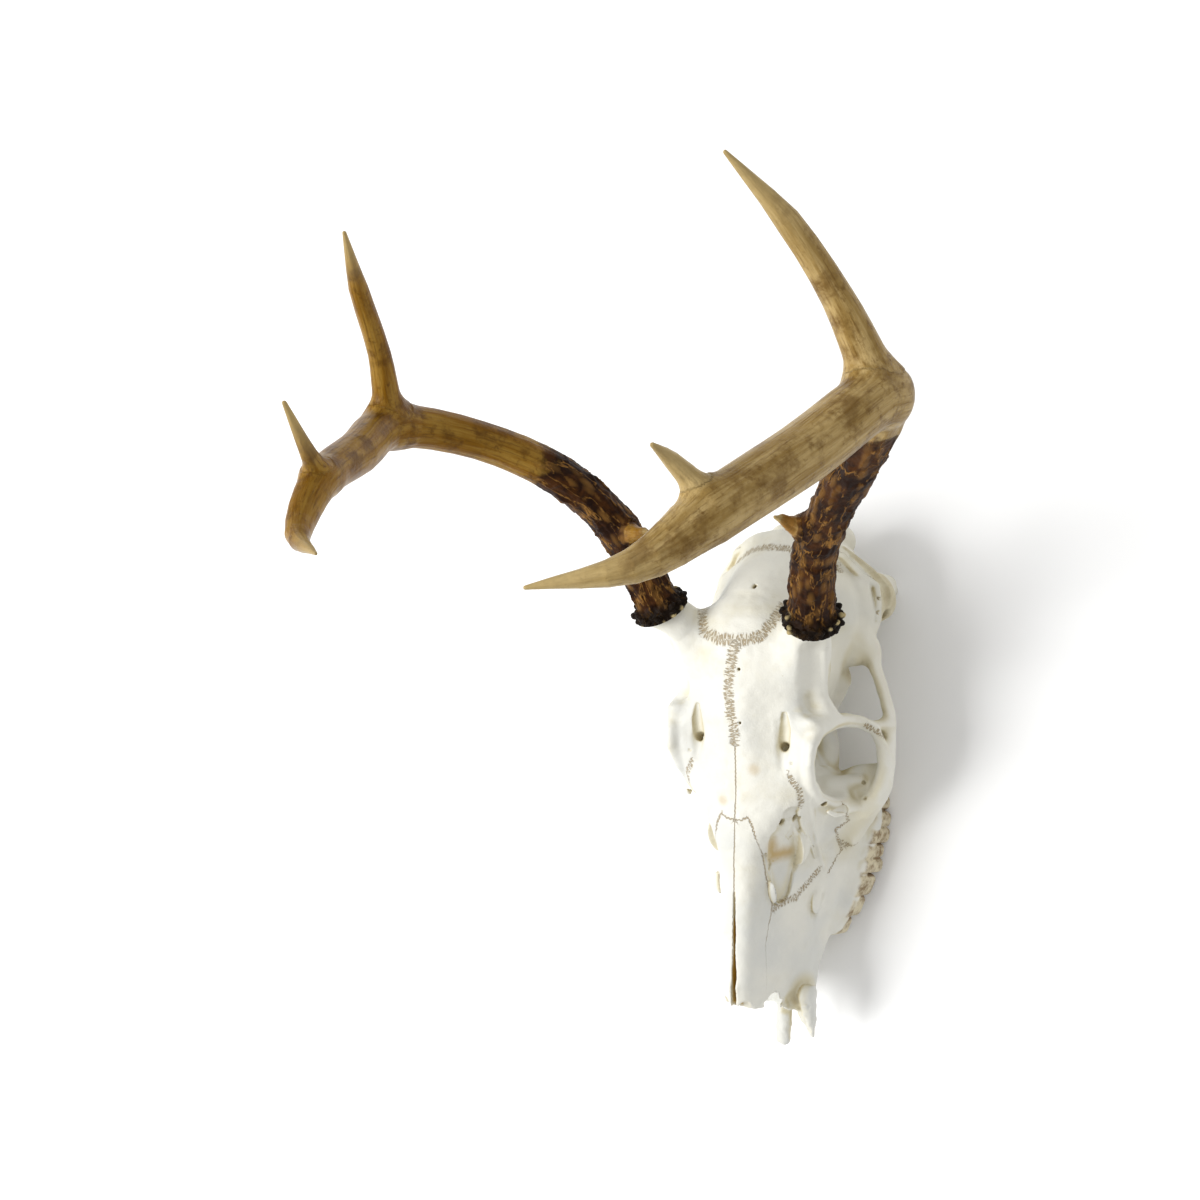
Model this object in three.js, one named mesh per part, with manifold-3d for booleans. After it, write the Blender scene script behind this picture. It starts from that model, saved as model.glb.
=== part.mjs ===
// Skull of a white-tailed deer buck with its antlers, without the lower jaw and the front jaw bones.
// Millimetres, +Z up. The nose points to -Y and the animal's left is +X. The skull lies at rest on its
// last cheek teeth and the two long processes behind its ears; the origin is on that floor.
// The bone is one smooth solid, described by the distance of a point to its surface (negative inside),
// which is meshed, thinned out and then cut along the sutures into its bones.
import * as THREE from "three";
import Module from "manifold-3d";

const wasm = await Module();
wasm.setup();

// ---------------------------------------------------------------- driving sizes
// All shapes are measured from the nasion, the point where the nasal bones meet the forehead.
const NASION = [0.1, -47.6, 92];
const GAP = 0.3;                  // open line left along a suture
const SKULL_TRIANGLES = 3340;
const ANTLER_TRIANGLES = 830;
const SKULL_STEP = 2.4;           // cell of the meshing grid
const ANTLER_STEP = 2.6;

const BONE = { color: 0xf1ecdc, roughness: 0.75, metalness: 0 };
const ANTLER = { color: 0x8a6a3c, roughness: 0.6, metalness: 0 };

// Face and nose: y, top z, half width of the roof, spread per mm of depth, half width low down, bottom z
const FACE = [
  [-118, -24, 3, 0.40, 20, -64], [-88, -18.6, 3.3, 0.40, 22, -66], [-70, -14.4, 3.8, 0.41, 23, -67],
  [-52, -10.6, 4.6, 0.42, 26, -69], [-34, -6.6, 5.4, 0.43, 30, -70], [-16, -2.8, 6.6, 0.44, 34, -70],
  [-6, -1.2, 10, 0.46, 37, -68], [4, 0.4, 16, 0.45, 40, -64], [12, 1.6, 22, 0.45, 40, -60],
  [20, 3, 27, 0.45, 36, -57], [28, 4, 24, 0.5, 24, -54], [42, 5, 20, 0.5, 16, -50],
];
// Forehead: y, top z, half width, fall of its side edge
const FOREHEAD = [
  [-12, -2.2, 8, 2], [0, 0.3, 13, 3], [8, 1.8, 19.5, 4.5], [15, 3.4, 26.5, 6.5], [22, 5.2, 33, 7.5],
  [30, 7.4, 36, 4.5], [38, 9.6, 36.5, 5.5], [45, 11.6, 36.5, 10], [52, 13.7, 32, 13], [62, 16, 29, 11.5],
  [72, 18.2, 31, 9], [82, 19.6, 29, 9], [92, 18, 24, 9], [100, 14, 21, 9],
];
// Braincase: y, top z, bottom z, half width high up, half width low down
const BRAINCASE = [
  [34, 4, -50, 18, 22], [48, 8, -54, 20, 28], [60, 12, -57, 26, 32], [72, 15, -60, 30, 34],
  [84, 17.6, -62, 28, 36], [96, 15.5, -64, 22.5, 38], [106, 9.5, -65, 18.5, 39], [116, 0, -66, 16.5, 39],
  [126, -12.5, -66, 16.5, 37], [134, -22, -66, 18, 33], [140, -29, -66, 15, 25],
];
// Cheek teeth: x, y, half width, half length of a lobe's pitch, z of the chewing face, lobes, turn in degrees
const TEETH = [
  [27.0, -51.2, 4.8, 4.8, -85, 1, -18], [31.2, -40.5, 5.8, 5.4, -86.2, 1, -18],
  [34.2, -29.5, 6.6, 5.4, -87.5, 1, -18], [36.6, -16.5, 7, 7.2, -89.2, 2, -6],
  [37.6, -1, 7.4, 7.8, -91, 2, -6], [35.8, 14, 7, 7.4, -93, 2, 6],
];
const GUM_LINE = -70;
const TOOTH_FLARE = 0.2;          // the tooth rows lean outwards by this much per mm of depth

// Antlers: points of each branch as x, y, z and radius
const LEFT_ANTLER = {
  beam: [[37.5, 94.5, 24, 10], [46.6, 117.6, 51, 9.1], [63.5, 132, 80, 8.4], [84.8, 145.6, 112, 8.1],
    [101, 154.5, 148, 9.8], [89.5, 129.5, 179, 9.8], [76.2, 105, 210, 9.2], [64, 88, 228, 5.2],
    [39.5, 79.2, 242, 1]],
  fork_tine: [[101, 154.5, 148, 9], [98, 166, 159, 6.8], [93, 179, 171.5, 5.4], [84.3, 195, 194, 4.2],
    [73, 207.7, 215.5, 1]],
  short_tine: [[77, 108, 206, 5], [69.5, 118, 222.5, 2.8], [68.5, 120, 232, 1.1]],
  brow_tine: [[53, 123.5, 61, 6.5], [47, 125.6, 71.5, 4.2], [41.2, 127, 82.5, 1]],
};
const RIGHT_ANTLER = {
  beam: [[-37.5, 94.5, 24, 10], [-46.5, 125.5, 52, 9.3], [-61.5, 144, 81, 8.8], [-84.8, 153.5, 112, 8.6],
    [-102, 151.5, 147, 9.4], [-89, 132.5, 179, 8.6], [-74, 114, 211, 7.2], [-62, 94, 229, 4.6],
    [-38.5, 86, 243, 0.9]],
  fork_tine: [[-102, 152, 147, 8.8], [-97.5, 162, 158, 6], [-92.5, 174, 169.5, 5], [-84.3, 191, 193, 4],
    [-73.3, 202.5, 213.8, 1.1]],
  short_tine: [[-76.8, 117.5, 206, 5.8], [-69.5, 122, 221, 3.4], [-68.5, 136, 235.5, 1.2]],
  brow_tine: [[-46.5, 124.5, 52, 6.5], [-37, 123.6, 57.5, 4], [-26, 123.5, 62.5, 1]],
};
const BURR = { ring: 10.4, tube: 3.7, foot: 3 };

// ---------------------------------------------------------------- distance fields
// A shape is a function of x, y, z. join and carve blend two distances over a width.
const clamp = (v, low, high) => Math.min(high, Math.max(low, v));

function join(a, b, width) {
  const h = clamp(0.5 + (0.5 * (b - a)) / width, 0, 1);
  return b + (a - b) * h - width * h * (1 - h);
}

function carve(a, b, width) {
  return -join(-a, b, width);
}

function both(a, b, width) {
  return -join(-a, -b, width);
}

// The values of a table of stations at a place along y.
function stationAt(table, y) {
  let i = 1;
  while (i < table.length - 1 && table[i][0] < y) i += 1;
  const [a, b] = [table[i - 1], table[i]];
  const t = clamp((y - a[0]) / (b[0] - a[0]), 0, 1);
  return a.map((v, k) => v + (b[k] - v) * t);
}

function ellipsoid([cx, cy, cz], [rx, ry, rz], { yaw = 0, roll = 0 } = {}) {
  const [cy1, sy1] = [Math.cos(yaw * THREE.MathUtils.DEG2RAD), Math.sin(yaw * THREE.MathUtils.DEG2RAD)];
  const [cr, sr] = [Math.cos(roll * THREE.MathUtils.DEG2RAD), Math.sin(roll * THREE.MathUtils.DEG2RAD)];
  return (px, py, pz) => {
    const x1 = (px - cx) * cy1 + (py - cy) * sy1;
    const y = (py - cy) * cy1 - (px - cx) * sy1;
    const x = x1 * cr - (pz - cz) * sr;
    const z = (pz - cz) * cr + x1 * sr;
    const near = Math.hypot(x / rx, y / ry, z / rz) + 1e-9;
    const slope = Math.hypot(x / rx ** 2, y / ry ** 2, z / rz ** 2) + 1e-9;
    return (near * (near - 1)) / slope;
  };
}

// Tapered rods through points of x, y, z and radius, flattened across an axis where flat is under 1.
function chain(points, flat = [1, 1, 1]) {
  const [fx, fy, fz] = flat;
  const rods = points.slice(1).map((b, i) => {
    const a = points[i];
    const [dx, dy, dz] = [(b[0] - a[0]) / fx, (b[1] - a[1]) / fy, (b[2] - a[2]) / fz];
    return { a, b, dx, dy, dz, length2: dx * dx + dy * dy + dz * dz };
  });
  return (px, py, pz) => {
    let best = Infinity;
    for (const { a, b, dx, dy, dz, length2 } of rods) {
      const [x, y, z] = [(px - a[0]) / fx, (py - a[1]) / fy, (pz - a[2]) / fz];
      const t = clamp((x * dx + y * dy + z * dz) / length2, 0, 1);
      const far = Math.hypot(x - t * dx, y - t * dy, z - t * dz) - (a[3] + t * (b[3] - a[3]));
      best = Math.min(best, far);
    }
    return best * Math.min(fx, fy, fz);
  };
}

function block([cx, cy, cz], half, round, yaw = 0) {
  const [c, s] = [Math.cos(yaw * THREE.MathUtils.DEG2RAD), Math.sin(yaw * THREE.MathUtils.DEG2RAD)];
  return (px, py, pz) => {
    const x = Math.abs((px - cx) * c + (py - cy) * s) - half[0] + round;
    const y = Math.abs((py - cy) * c - (px - cx) * s) - half[1] + round;
    const z = Math.abs(pz - cz) - half[2] + round;
    return Math.hypot(Math.max(x, 0), Math.max(y, 0), Math.max(z, 0)) + Math.min(Math.max(x, y, z), 0) - round;
  };
}

function ringAround([cx, cy, cz], normal, radius, tube) {
  return (px, py, pz) => {
    const [x, y, z] = [px - cx, py - cy, pz - cz];
    const along = x * normal.x + y * normal.y + z * normal.z;
    const out = Math.sqrt(Math.max(0, x * x + y * y + z * z - along * along)) - radius;
    return Math.hypot(out, along) - tube;
  };
}

// ---------------------------------------------------------------- the skull as one smooth solid
// The nose is a ridge whose sides spread downwards; its front end is cut off at a slant.
function face(x, y, z) {
  const [, top, roof, spread, low, bottom] = stationAt(FACE, y);
  const out = Math.sqrt(x * x + 4) - 2;
  const side = (out - roof - spread * (top - z)) / Math.hypot(1, spread);
  let d = both(side, z - top + 0.012 * out * out, 5);
  d = both(d, out - low, 5);
  d = both(d, bottom - z, 4);
  const front = -88 - y + 0.13 * (z + 20);
  return both(d, Math.max(front, y - 42), 2);
}

function forehead(x, y, z) {
  const [, top, width, drop] = stationAt(FOREHEAD, y);
  const u = Math.abs(x) / width;
  const lift = (z + drop * u ** 2.2 - top + 6) / 6;
  const d = ((u ** 6 + lift ** 6) ** (1 / 6) - 1) * 6;
  return both(d, Math.max(-12 - y, y - 100), 5);
}

function braincase(x, y, z) {
  const [, top, bottom, wide, low] = stationAt(BRAINCASE, y);
  const depth = clamp((top - z) / (top - bottom), 0, 1);
  const width = wide + (low - wide) * depth;
  const height = (top - bottom) / 2;
  const u = Math.abs(x) / width;
  const v = Math.abs(z - (top + bottom) / 2) / height;
  const d = ((u ** 2.3 + v ** 2.3) ** (1 / 2.3) - 1) * Math.min(width, height);
  return both(d, Math.max(34 - y, y - 140), 8);
}

// Each molar has two lobes and each premolar one; all are rounded blocks that lean outwards.
const toothLobes = TEETH.flatMap(([x, y, half, pitch, chewing, lobes, turn]) =>
  Array.from({ length: lobes }, (_, i) => block(
    [x, y + (i - (lobes - 1) / 2) * pitch, (chewing + GUM_LINE) / 2],
    [half, (pitch / lobes) * 1.06, (GUM_LINE - chewing) / 2],
    3,
    turn,
  )));
function teeth(x, y, z) {
  const upright = x + TOOTH_FLARE * (z + 84);
  return Math.min(...toothLobes.map((lobe) => lobe(upright, y, z)));
}

const eyeRim = [
  [33.2, 21.6, -4.5], [34.3, 29.8, 4], [34.8, 38.2, 4.5], [36.6, 44.6, 1], [37.2, 49, -11],
  [40.4, 50.8, -22], [46, 50.8, -28], [51.2, 47.6, -33.3], [54, 40, -38], [55.4, 32.3, -41],
  [53.2, 23.5, -44.5], [49.8, 16.6, -46], [43.8, 11.4, -45], [39, 9.8, -40], [35.2, 11.2, -29],
  [33, 15, -16.5], [33.2, 21.6, -4.5],
].map((p) => [...p, 2.4]);
const cheekArch = [
  [38, -4, -58, 5], [44, 8, -58, 7], [51, 20, -53, 8], [54.2, 33, -48, 8], [53.9, 44, -49, 6.5],
  [52.6, 54, -51, 5.5], [49.2, 65, -49.5, 5], [44.8, 76, -48, 5], [40.5, 85, -49, 6], [36, 94, -50, 8],
];
const SYMMETRIC = [
  [join, face, 5],
  [join, forehead, 4],
  // antler pedicle
  [join, chain([[24, 75, 2, 12.5], [30, 86, 11, 11], [36.5, 93, 21.5, 9.8]]), 6],
  // wall of the braincase low down, beside the openings to the throat
  [join, chain([[20, 40, -45, 7], [20, 56, -48, 7], [24, 70, -49, 8]]), 5],
  // eye socket and the hollow for the chewing muscle behind it
  [carve, ellipsoid([43.5, 30, -21], [24, 19, 24], { roll: -24 }), 3],
  [carve, ellipsoid([46, 52, -40], [16, 20, 28]), 4],
  [carve, ellipsoid([46, 41, -62], [17, 14.5, 34]), 4],
  // floor and inner wall of the socket
  [join, ellipsoid([38.5, 16, -49.5], [20, 12, 5], { yaw: 36 }), 3],
  [join, chain([[25.5, 50, -36, 4.5], [26.5, 38, -41, 5.5], [25.5, 27, -47, 5]]), 3],
  [join, chain([[29.5, 19, -37.5, 3.5], [36, 21, -44.5, 3.5]]), 3],
  // rim of the socket, cheek arch and the bar between them
  [join, chain(eyeRim), 3],
  [join, chain(cheekArch, [0.4, 1, 1]), 4],
  [join, chain([[34, 48, 2, 5], [38.5, 50, -9, 4], [42.5, 50.4, -23, 2.6], [47.5, 49.6, -33, 2.6],
    [51.8, 50, -46, 3.6]], [1, 0.7, 1]), 4],
  // side wall of the braincase
  [join, ellipsoid([22, 99, -37], [15.5, 24, 20]), 6],
  [join, chain([[34, 82, -44, 5], [35, 92, -46, 6], [35.5, 103, -45, 6.5], [34, 114, -43, 6]]), 5],
  // ear region, bulla and the process behind the ear that the skull rests on
  [join, chain([[26, 88, -50, 8], [40, 85, -50, 4.5]], [1, 1, 0.6]), 5],
  [join, chain([[24, 98, -54, 8], [36, 100, -54, 6]]), 6],
  [join, ellipsoid([38, 110, -63], [8.5, 9, 13]), 6],
  [join, ellipsoid([20, 102, -70], [7.5, 12, 9]), 4],
  [join, chain([[36, 117, -62, 8], [37, 120, -76, 5.5], [36, 119, -89.8, 3.2]]), 5],
  // nuchal crest across the back
  [join, chain([[0, 136, -26, 4], [14, 134.5, -29.5, 3.6], [27, 130, -38, 3.6], [36.5, 121.5, -50, 4],
    [41, 113, -59, 4]]), 6],
  // neck joint and the base of the skull
  [join, ellipsoid([13.5, 140, -64], [9.5, 9, 11], { yaw: 25 }), 3],
  [join, chain([[0, 134, -72, 8], [0, 100, -73, 8], [0, 66, -66, 9]]), 5],
  [join, block([11, 48, -66], [2.2, 16, 14], 1.6), 3],
  // bone that holds the cheek teeth, the teeth, and the hollow of the palate
  [join, chain([[24.5, -50, -74.5, 6.5], [29, -38, -76, 7.5], [32.6, -18, -77, 8], [36, 2, -77.5, 8.5],
    [36, 14, -77, 7.5]]), 6],
  [carve, chain([[0, -95, -76, 14], [0, -60, -82, 16], [0, -30, -89, 22], [0, 20, -91, 24]]), 4],
  [join, teeth, 1],
  // nasal cavity, hole for the spinal cord, inner nostrils, ear hole
  [carve, chain([[0, -120, -47, 16.5], [0, -84, -43, 15], [0, -62, -41, 13], [0, -40, -38, 7]],
    [0.9, 1, 1]), 2],
  [carve, chain([[0, 156, -58, 9], [0, 130, -50, 9], [0, 105, -40, 14]]), 2],
  [carve, chain([[0, 62, -78, 7.5], [0, 30, -67, 7.5], [0, 12, -60, 6]]), 2],
  [carve, chain([[50, 104, -58, 3.2], [32, 103, -60, 2.5]]), 1],
  // hollow, groove and hole above the eye
  [carve, chain([[20.5, 49, 22, 14], [21, 36, 17.6, 14], [21.5, 26, 16.6, 14]]), 6],
  [carve, chain([[20.3, 46, 7, 1.8], [21.3, 36, 3.6, 2.8], [21.5, 27, 3.4, 1.8]]), 2],
  [carve, chain([[21.6, 36.6, 2, 2.3], [20, 33, -9, 2.2]]), 0.6],
  // hollow strip along the side of the forehead, and the edge beside it, up to the pedicle
  [carve, chain([[40, 78, 17, 8], [37.6, 65, 8.1, 8], [37, 58, 4, 7]]), 4],
  [join, chain([[36, 84, 6, 3], [33.4, 76, -1, 3], [31.6, 68, -5, 3], [32, 60, -7, 3], [36, 53, -9, 3]]), 5],
  // the opening in front of the eye with its scrolls of bone, the hollow below the eye, the hole in the cheek
  [carve, chain([[23.5, 6, -9, 4], [20.5, -6, -17, 8], [18.5, -19, -22, 9.5], [15.5, -33, -25, 5]]), 1],
  [join, ellipsoid([14, -26, -25.5], [5.5, 13, 10]), 0.8],
  [join, ellipsoid([20.5, -10, -29], [5, 10, 8.5]), 0.8],
  [join, ellipsoid([17, -1, -13], [4.2, 8.5, 6]), 0.8],
  [join, ellipsoid([15.5, -13, -18.5], [5, 8, 6.5]), 0.8],
  [carve, ellipsoid([35.8, -2, -34.5], [6, 13.5, 9.5], { yaw: -14 }), 1],
  [carve, chain([[27, -54, -50, 2.6], [24, -36, -48, 2]]), 1.5],
  // broken front edges of the upper jaw and of the nasal bones
  [carve, ellipsoid([26, -90, -45], [12, 12, 11]), 1],
  [carve, ellipsoid([5.5, -92, -20], [4.8, 7.2, 5]), 0.5],
];
// Splinters left at the front of the left upper jaw, and the thin tips of the nasal bones.
const SPLINTERS = [
  chain([[17, -83, -58, 5.5], [20.8, -93, -60, 4.2], [24.3, -103.6, -60.5, 1.2]], [1, 1, 0.6]),
  chain([[24, -84, -55, 5], [25.4, -95, -59, 1.6]], [0.5, 1, 1]),
  chain([[9.4, -82, -58, 4], [9.8, -96, -59, 3.8], [10.5, -108, -59, 3.4]]),
  chain([[-0.8, -79, -17, 2.6], [-0.6, -89.6, -20, 1]], [1, 1, 0.6]),
];

function skull(x, y, z) {
  const side = Math.abs(x);
  let d = braincase(side, y, z);
  for (const [blend, shape, width] of SYMMETRIC) d = blend(d, shape(side, y, z), width);
  for (const splinter of SPLINTERS) d = join(d, splinter(x, y, z), 1.5);
  return d;
}

// ---------------------------------------------------------------- the antlers
// A smooth curve through points of x, y, z and radius.
function smooth(points, steps) {
  const place = new THREE.CatmullRomCurve3(points.map(([x, y, z]) => new THREE.Vector3(x, y, z)));
  const count = (points.length - 1) * steps;
  return Array.from({ length: count + 1 }, (_, i) => {
    const at = place.getPoint(i / count);
    const k = Math.min(points.length - 2, Math.floor(i / steps));
    const t = i / steps - k;
    return [at.x, at.y, at.z, points[k][3] + t * (points[k + 1][3] - points[k][3])];
  });
}

const pointOf = ([x, y, z]) => new THREE.Vector3(x, y, z);
const headingOf = (from, to) => pointOf(to).sub(pointOf(from)).normalize();

function antler({ beam, fork_tine, short_tine, brow_tine }) {
  const main = chain(smooth(beam, 4));
  const tines = [[fork_tine, 7], [short_tine, 5], [brow_tine, 5]].map(([points, width]) =>
    [chain(smooth(points, 3)), width]);
  const up = headingOf(beam[0], beam[1]);
  const burr = ringAround(beam[0], up, BURR.ring, BURR.tube);
  return (x, y, z) => {
    let d = main(x, y, z);
    for (const [tine, width] of tines) d = join(d, tine(x, y, z), width);
    d = join(d, burr(x, y, z), 2);
    const below = -(pointOf([x, y, z]).sub(pointOf(beam[0])).dot(up)) - BURR.foot;
    return both(d, below, 0.8);
  };
}

// ---------------------------------------------------------------- meshing
// Each grid cell is split into six tetrahedra around its long diagonal, which always gives a closed surface.
const CORNERS = [0, 1, 2, 3, 4, 5, 6, 7].map((c) => [c & 1, (c >> 1) & 1, c >> 2]);
const TETRAHEDRA = [[0, 1, 3, 7], [0, 3, 2, 7], [0, 2, 6, 7], [0, 6, 4, 7], [0, 4, 5, 7], [0, 5, 1, 7]];

function surfaceOf(field, low, high, step) {
  const size = low.map((v, k) => Math.ceil((high[k] - v) / step) + 1);
  const stride = [1, size[0], size[0] * size[1]];
  const offset = CORNERS.map((c) => c[0] * stride[0] + c[1] * stride[1] + c[2] * stride[2]);
  const placeOf = (node) => new THREE.Vector3(
    low[0] + (node % size[0]) * step,
    low[1] + (Math.floor(node / stride[1]) % size[1]) * step,
    low[2] + Math.floor(node / stride[2]) * step,
  );
  const value = new Float64Array(size[0] * size[1] * size[2]);
  for (let node = 0; node < value.length; node += 1) value[node] = field(...placeOf(node));

  const vertices = [];
  const triangles = [];
  const known = new Map();
  // The vertex where the surface crosses the edge from one corner of a cell to another.
  function crossing(cell, from, to) {
    const [a, b] = [cell + offset[Math.min(from, to)], cell + offset[Math.max(from, to)]];
    const key = a * 8 + (from ^ to);
    if (!known.has(key)) {
      const t = clamp(value[a] / (value[a] - value[b]), 0.03, 0.97);
      known.set(key, vertices.length);
      vertices.push(placeOf(a).lerp(placeOf(b), t));
    }
    return known.get(key);
  }
  function addTriangle(a, b, c, outwards) {
    const [p, q, r] = [a, b, c].map((i) => vertices[i]);
    const normal = q.clone().sub(p).cross(r.clone().sub(p));
    triangles.push(normal.dot(outwards) > 0 ? [a, b, c] : [a, c, b]);
  }
  function cutTetrahedron(cell, corners) {
    const inside = corners.filter((c) => value[cell + offset[c]] < 0);
    const outside = corners.filter((c) => value[cell + offset[c]] >= 0);
    if (inside.length === 0 || outside.length === 0) return;
    const middle = (list) => list
      .reduce((sum, c) => sum.add(placeOf(cell + offset[c])), new THREE.Vector3())
      .divideScalar(list.length);
    const outwards = middle(outside).sub(middle(inside));
    if (inside.length === 2) {
      const [a, b] = inside.map((i) => crossing(cell, i, outside[0]));
      const [c, d] = inside.map((i) => crossing(cell, i, outside[1]));
      addTriangle(a, b, c, outwards);
      addTriangle(b, d, c, outwards);
      return;
    }
    const lone = inside.length === 1 ? inside : outside;
    const rest = inside.length === 1 ? outside : inside;
    addTriangle(...rest.map((c) => crossing(cell, lone[0], c)), outwards);
  }
  for (let k = 0; k < size[2] - 1; k += 1) {
    for (let j = 0; j < size[1] - 1; j += 1) {
      for (let i = 0; i < size[0] - 1; i += 1) {
        const cell = i + j * stride[1] + k * stride[2];
        const filled = offset.filter((o) => value[cell + o] < 0).length;
        if (filled > 0 && filled < 8) TETRAHEDRA.forEach((corners) => cutTetrahedron(cell, corners));
      }
    }
  }
  return { vertices, triangles };
}

// ---------------------------------------------------------------- thinning out
// Short edges on flat ground are merged first: an edge's cost is how far its merged vertex would lie from
// the planes of the triangles around it (a symmetric 4 x 4 form, kept as its ten numbers).
const LENGTH_COST = 0.0015;
const MOST_TURN = 0.25;            // least cosine between a triangle's old and new direction

function planeForm(n, d, weight) {
  return [n.x * n.x, n.x * n.y, n.x * n.z, n.x * d, n.y * n.y, n.y * n.z, n.y * d, n.z * n.z, n.z * d, d * d]
    .map((v) => v * weight);
}

function formAt(q, { x, y, z }) {
  return q[0] * x * x + 2 * q[1] * x * y + 2 * q[2] * x * z + 2 * q[3] * x + q[4] * y * y
    + 2 * q[5] * y * z + 2 * q[6] * y + q[7] * z * z + 2 * q[8] * z + q[9];
}

function lowestPoint(q, fallback) {
  const m = new THREE.Matrix3().set(q[0], q[1], q[2], q[1], q[4], q[5], q[2], q[5], q[7]);
  const size = (q[0] + q[4] + q[7]) / 3;
  if (Math.abs(m.determinant()) < 1e-3 * size ** 3) return fallback;
  return new THREE.Vector3(-q[3], -q[6], -q[8]).applyMatrix3(m.invert());
}

// A list that always gives its cheapest entry first.
class Heap {
  items = [];

  push(item) {
    const { items } = this;
    let i = items.push(item) - 1;
    while (i > 0 && items[(i - 1) >> 1].cost > items[i].cost) {
      const up = (i - 1) >> 1;
      [items[up], items[i]] = [items[i], items[up]];
      i = up;
    }
  }

  pop() {
    const { items } = this;
    const first = items[0];
    const last = items.pop();
    if (items.length === 0) return first;
    items[0] = last;
    let i = 0;
    for (;;) {
      let low = i;
      for (const child of [2 * i + 1, 2 * i + 2]) {
        if (child < items.length && items[child].cost < items[low].cost) low = child;
      }
      if (low === i) return first;
      [items[low], items[i]] = [items[i], items[low]];
      i = low;
    }
  }
}

function thinOut({ vertices, triangles }, target) {
  const forms = vertices.map(() => new Array(10).fill(0));
  const around = vertices.map(() => new Set());
  const version = vertices.map(() => 0);
  triangles.forEach((triangle, i) => {
    const [p, q, r] = triangle.map((v) => vertices[v]);
    const normal = q.clone().sub(p).cross(r.clone().sub(p));
    const area = normal.length() / 2;
    normal.normalize();
    const form = planeForm(normal, -normal.dot(p), area);
    triangle.forEach((v) => {
      around[v].add(i);
      form.forEach((value, k) => { forms[v][k] += value; });
    });
  });

  const neighbours = (v) => new Set([...around[v]].flatMap((i) => triangles[i]).filter((n) => n !== v));
  const queue = new Heap();
  function offer(a, b) {
    const form = forms[a].map((value, k) => value + forms[b][k]);
    const middle = vertices[a].clone().lerp(vertices[b], 0.5);
    let place = lowestPoint(form, middle);
    const length2 = vertices[a].distanceToSquared(vertices[b]);
    if (place.distanceToSquared(middle) > length2) place = middle;
    const cost = formAt(form, place) + LENGTH_COST * length2 * length2;
    queue.push({ cost, a, b, place, stamp: version[a] + version[b] });
  }
  function turnsOver(v, other, place) {
    return [...around[v]].some((i) => {
      if (triangles[i].includes(other)) return false;
      const [before, after] = [[], []];
      triangles[i].forEach((n) => {
        before.push(vertices[n]);
        after.push(n === v ? place : vertices[n]);
      });
      const [n0, n1] = [before, after].map(([p, q, r]) => q.clone().sub(p).cross(r.clone().sub(p)).normalize());
      return n0.dot(n1) < MOST_TURN;
    });
  }
  vertices.forEach((_, a) => neighbours(a).forEach((b) => { if (a < b) offer(a, b); }));

  let left = triangles.length;
  while (left > target && queue.items.length > 0) {
    const { a, b, place, stamp } = queue.pop();
    if (around[a].size === 0 || around[b].size === 0 || stamp !== version[a] + version[b]) continue;
    const [nearA, nearB] = [neighbours(a), neighbours(b)];
    const shared = [...nearA].filter((v) => nearB.has(v));
    if (shared.length !== 2 || turnsOver(a, b, place) || turnsOver(b, a, place)) continue;
    vertices[a].copy(place);
    forms[a] = forms[a].map((value, k) => value + forms[b][k]);
    for (const i of around[b]) {
      if (triangles[i].includes(a)) {
        triangles[i].forEach((v) => around[v].delete(i));
        triangles[i] = null;
        left -= 1;
      } else {
        triangles[i] = triangles[i].map((v) => (v === b ? a : v));
        around[a].add(i);
      }
    }
    around[b].clear();
    version[a] += 1;
    neighbours(a).forEach((v) => offer(a, v));
  }
  return { vertices, triangles: triangles.filter(Boolean) };
}

// ---------------------------------------------------------------- solids
function solidOf({ vertices, triangles }) {
  const used = [...new Set(triangles.flat())];
  const order = new Map(used.map((v, i) => [v, i]));
  return new wasm.Manifold(new wasm.Mesh({
    numProp: 3,
    vertProperties: new Float32Array(used.flatMap((v) => vertices[v].toArray())),
    triVerts: new Uint32Array(triangles.flat().map((v) => order.get(v))),
  }));
}

function solidFrom(geometry) {
  const position = geometry.getAttribute("position");
  const vertices = [];
  const known = new Map();
  const corner = Array.from({ length: position.count }, (_, i) => {
    const p = new THREE.Vector3().fromBufferAttribute(position, i);
    const key = p.toArray().map((v) => v.toFixed(3)).join();
    if (!known.has(key)) {
      known.set(key, vertices.length);
      vertices.push(p);
    }
    return known.get(key);
  });
  const index = geometry.index ? [...geometry.index.array] : corner.map((_, i) => i);
  const triangles = [];
  for (let i = 0; i < index.length; i += 3) {
    const triangle = [0, 1, 2].map((k) => corner[index[i + k]]);
    if (new Set(triangle).size === 3) triangles.push(triangle);
  }
  return solidOf({ vertices, triangles });
}

// Moves every side of an outline outwards by a distance; the outline runs anticlockwise.
function grown(outline, by) {
  const count = outline.length;
  const points = outline.map(([u, v]) => new THREE.Vector2(u, v));
  return points.map((p, i) => {
    const before = p.clone().sub(points[(i + count - 1) % count]).normalize();
    const after = points[(i + 1) % count].clone().sub(p).normalize();
    const [n0, n1] = [before, after].map((d) => new THREE.Vector2(d.y, -d.x));
    return p.clone().add(n0.add(n1).multiplyScalar(by / (1 + before.dot(after))));
  });
}

// A prism over an outline of y and z, from x = from to x = to.
function sidePrism(outline, from, to) {
  return (margin) => {
    const shape = new THREE.Shape(grown(outline, margin));
    const geometry = new THREE.ExtrudeGeometry(shape, { depth: to - from + 2 * margin, bevelEnabled: false });
    geometry.applyMatrix4(new THREE.Matrix4().makeBasis(
      new THREE.Vector3(0, 1, 0),
      new THREE.Vector3(0, 0, 1),
      new THREE.Vector3(1, 0, 0),
    ));
    geometry.translate(from - margin, 0, 0);
    return solidFrom(geometry);
  };
}

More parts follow.
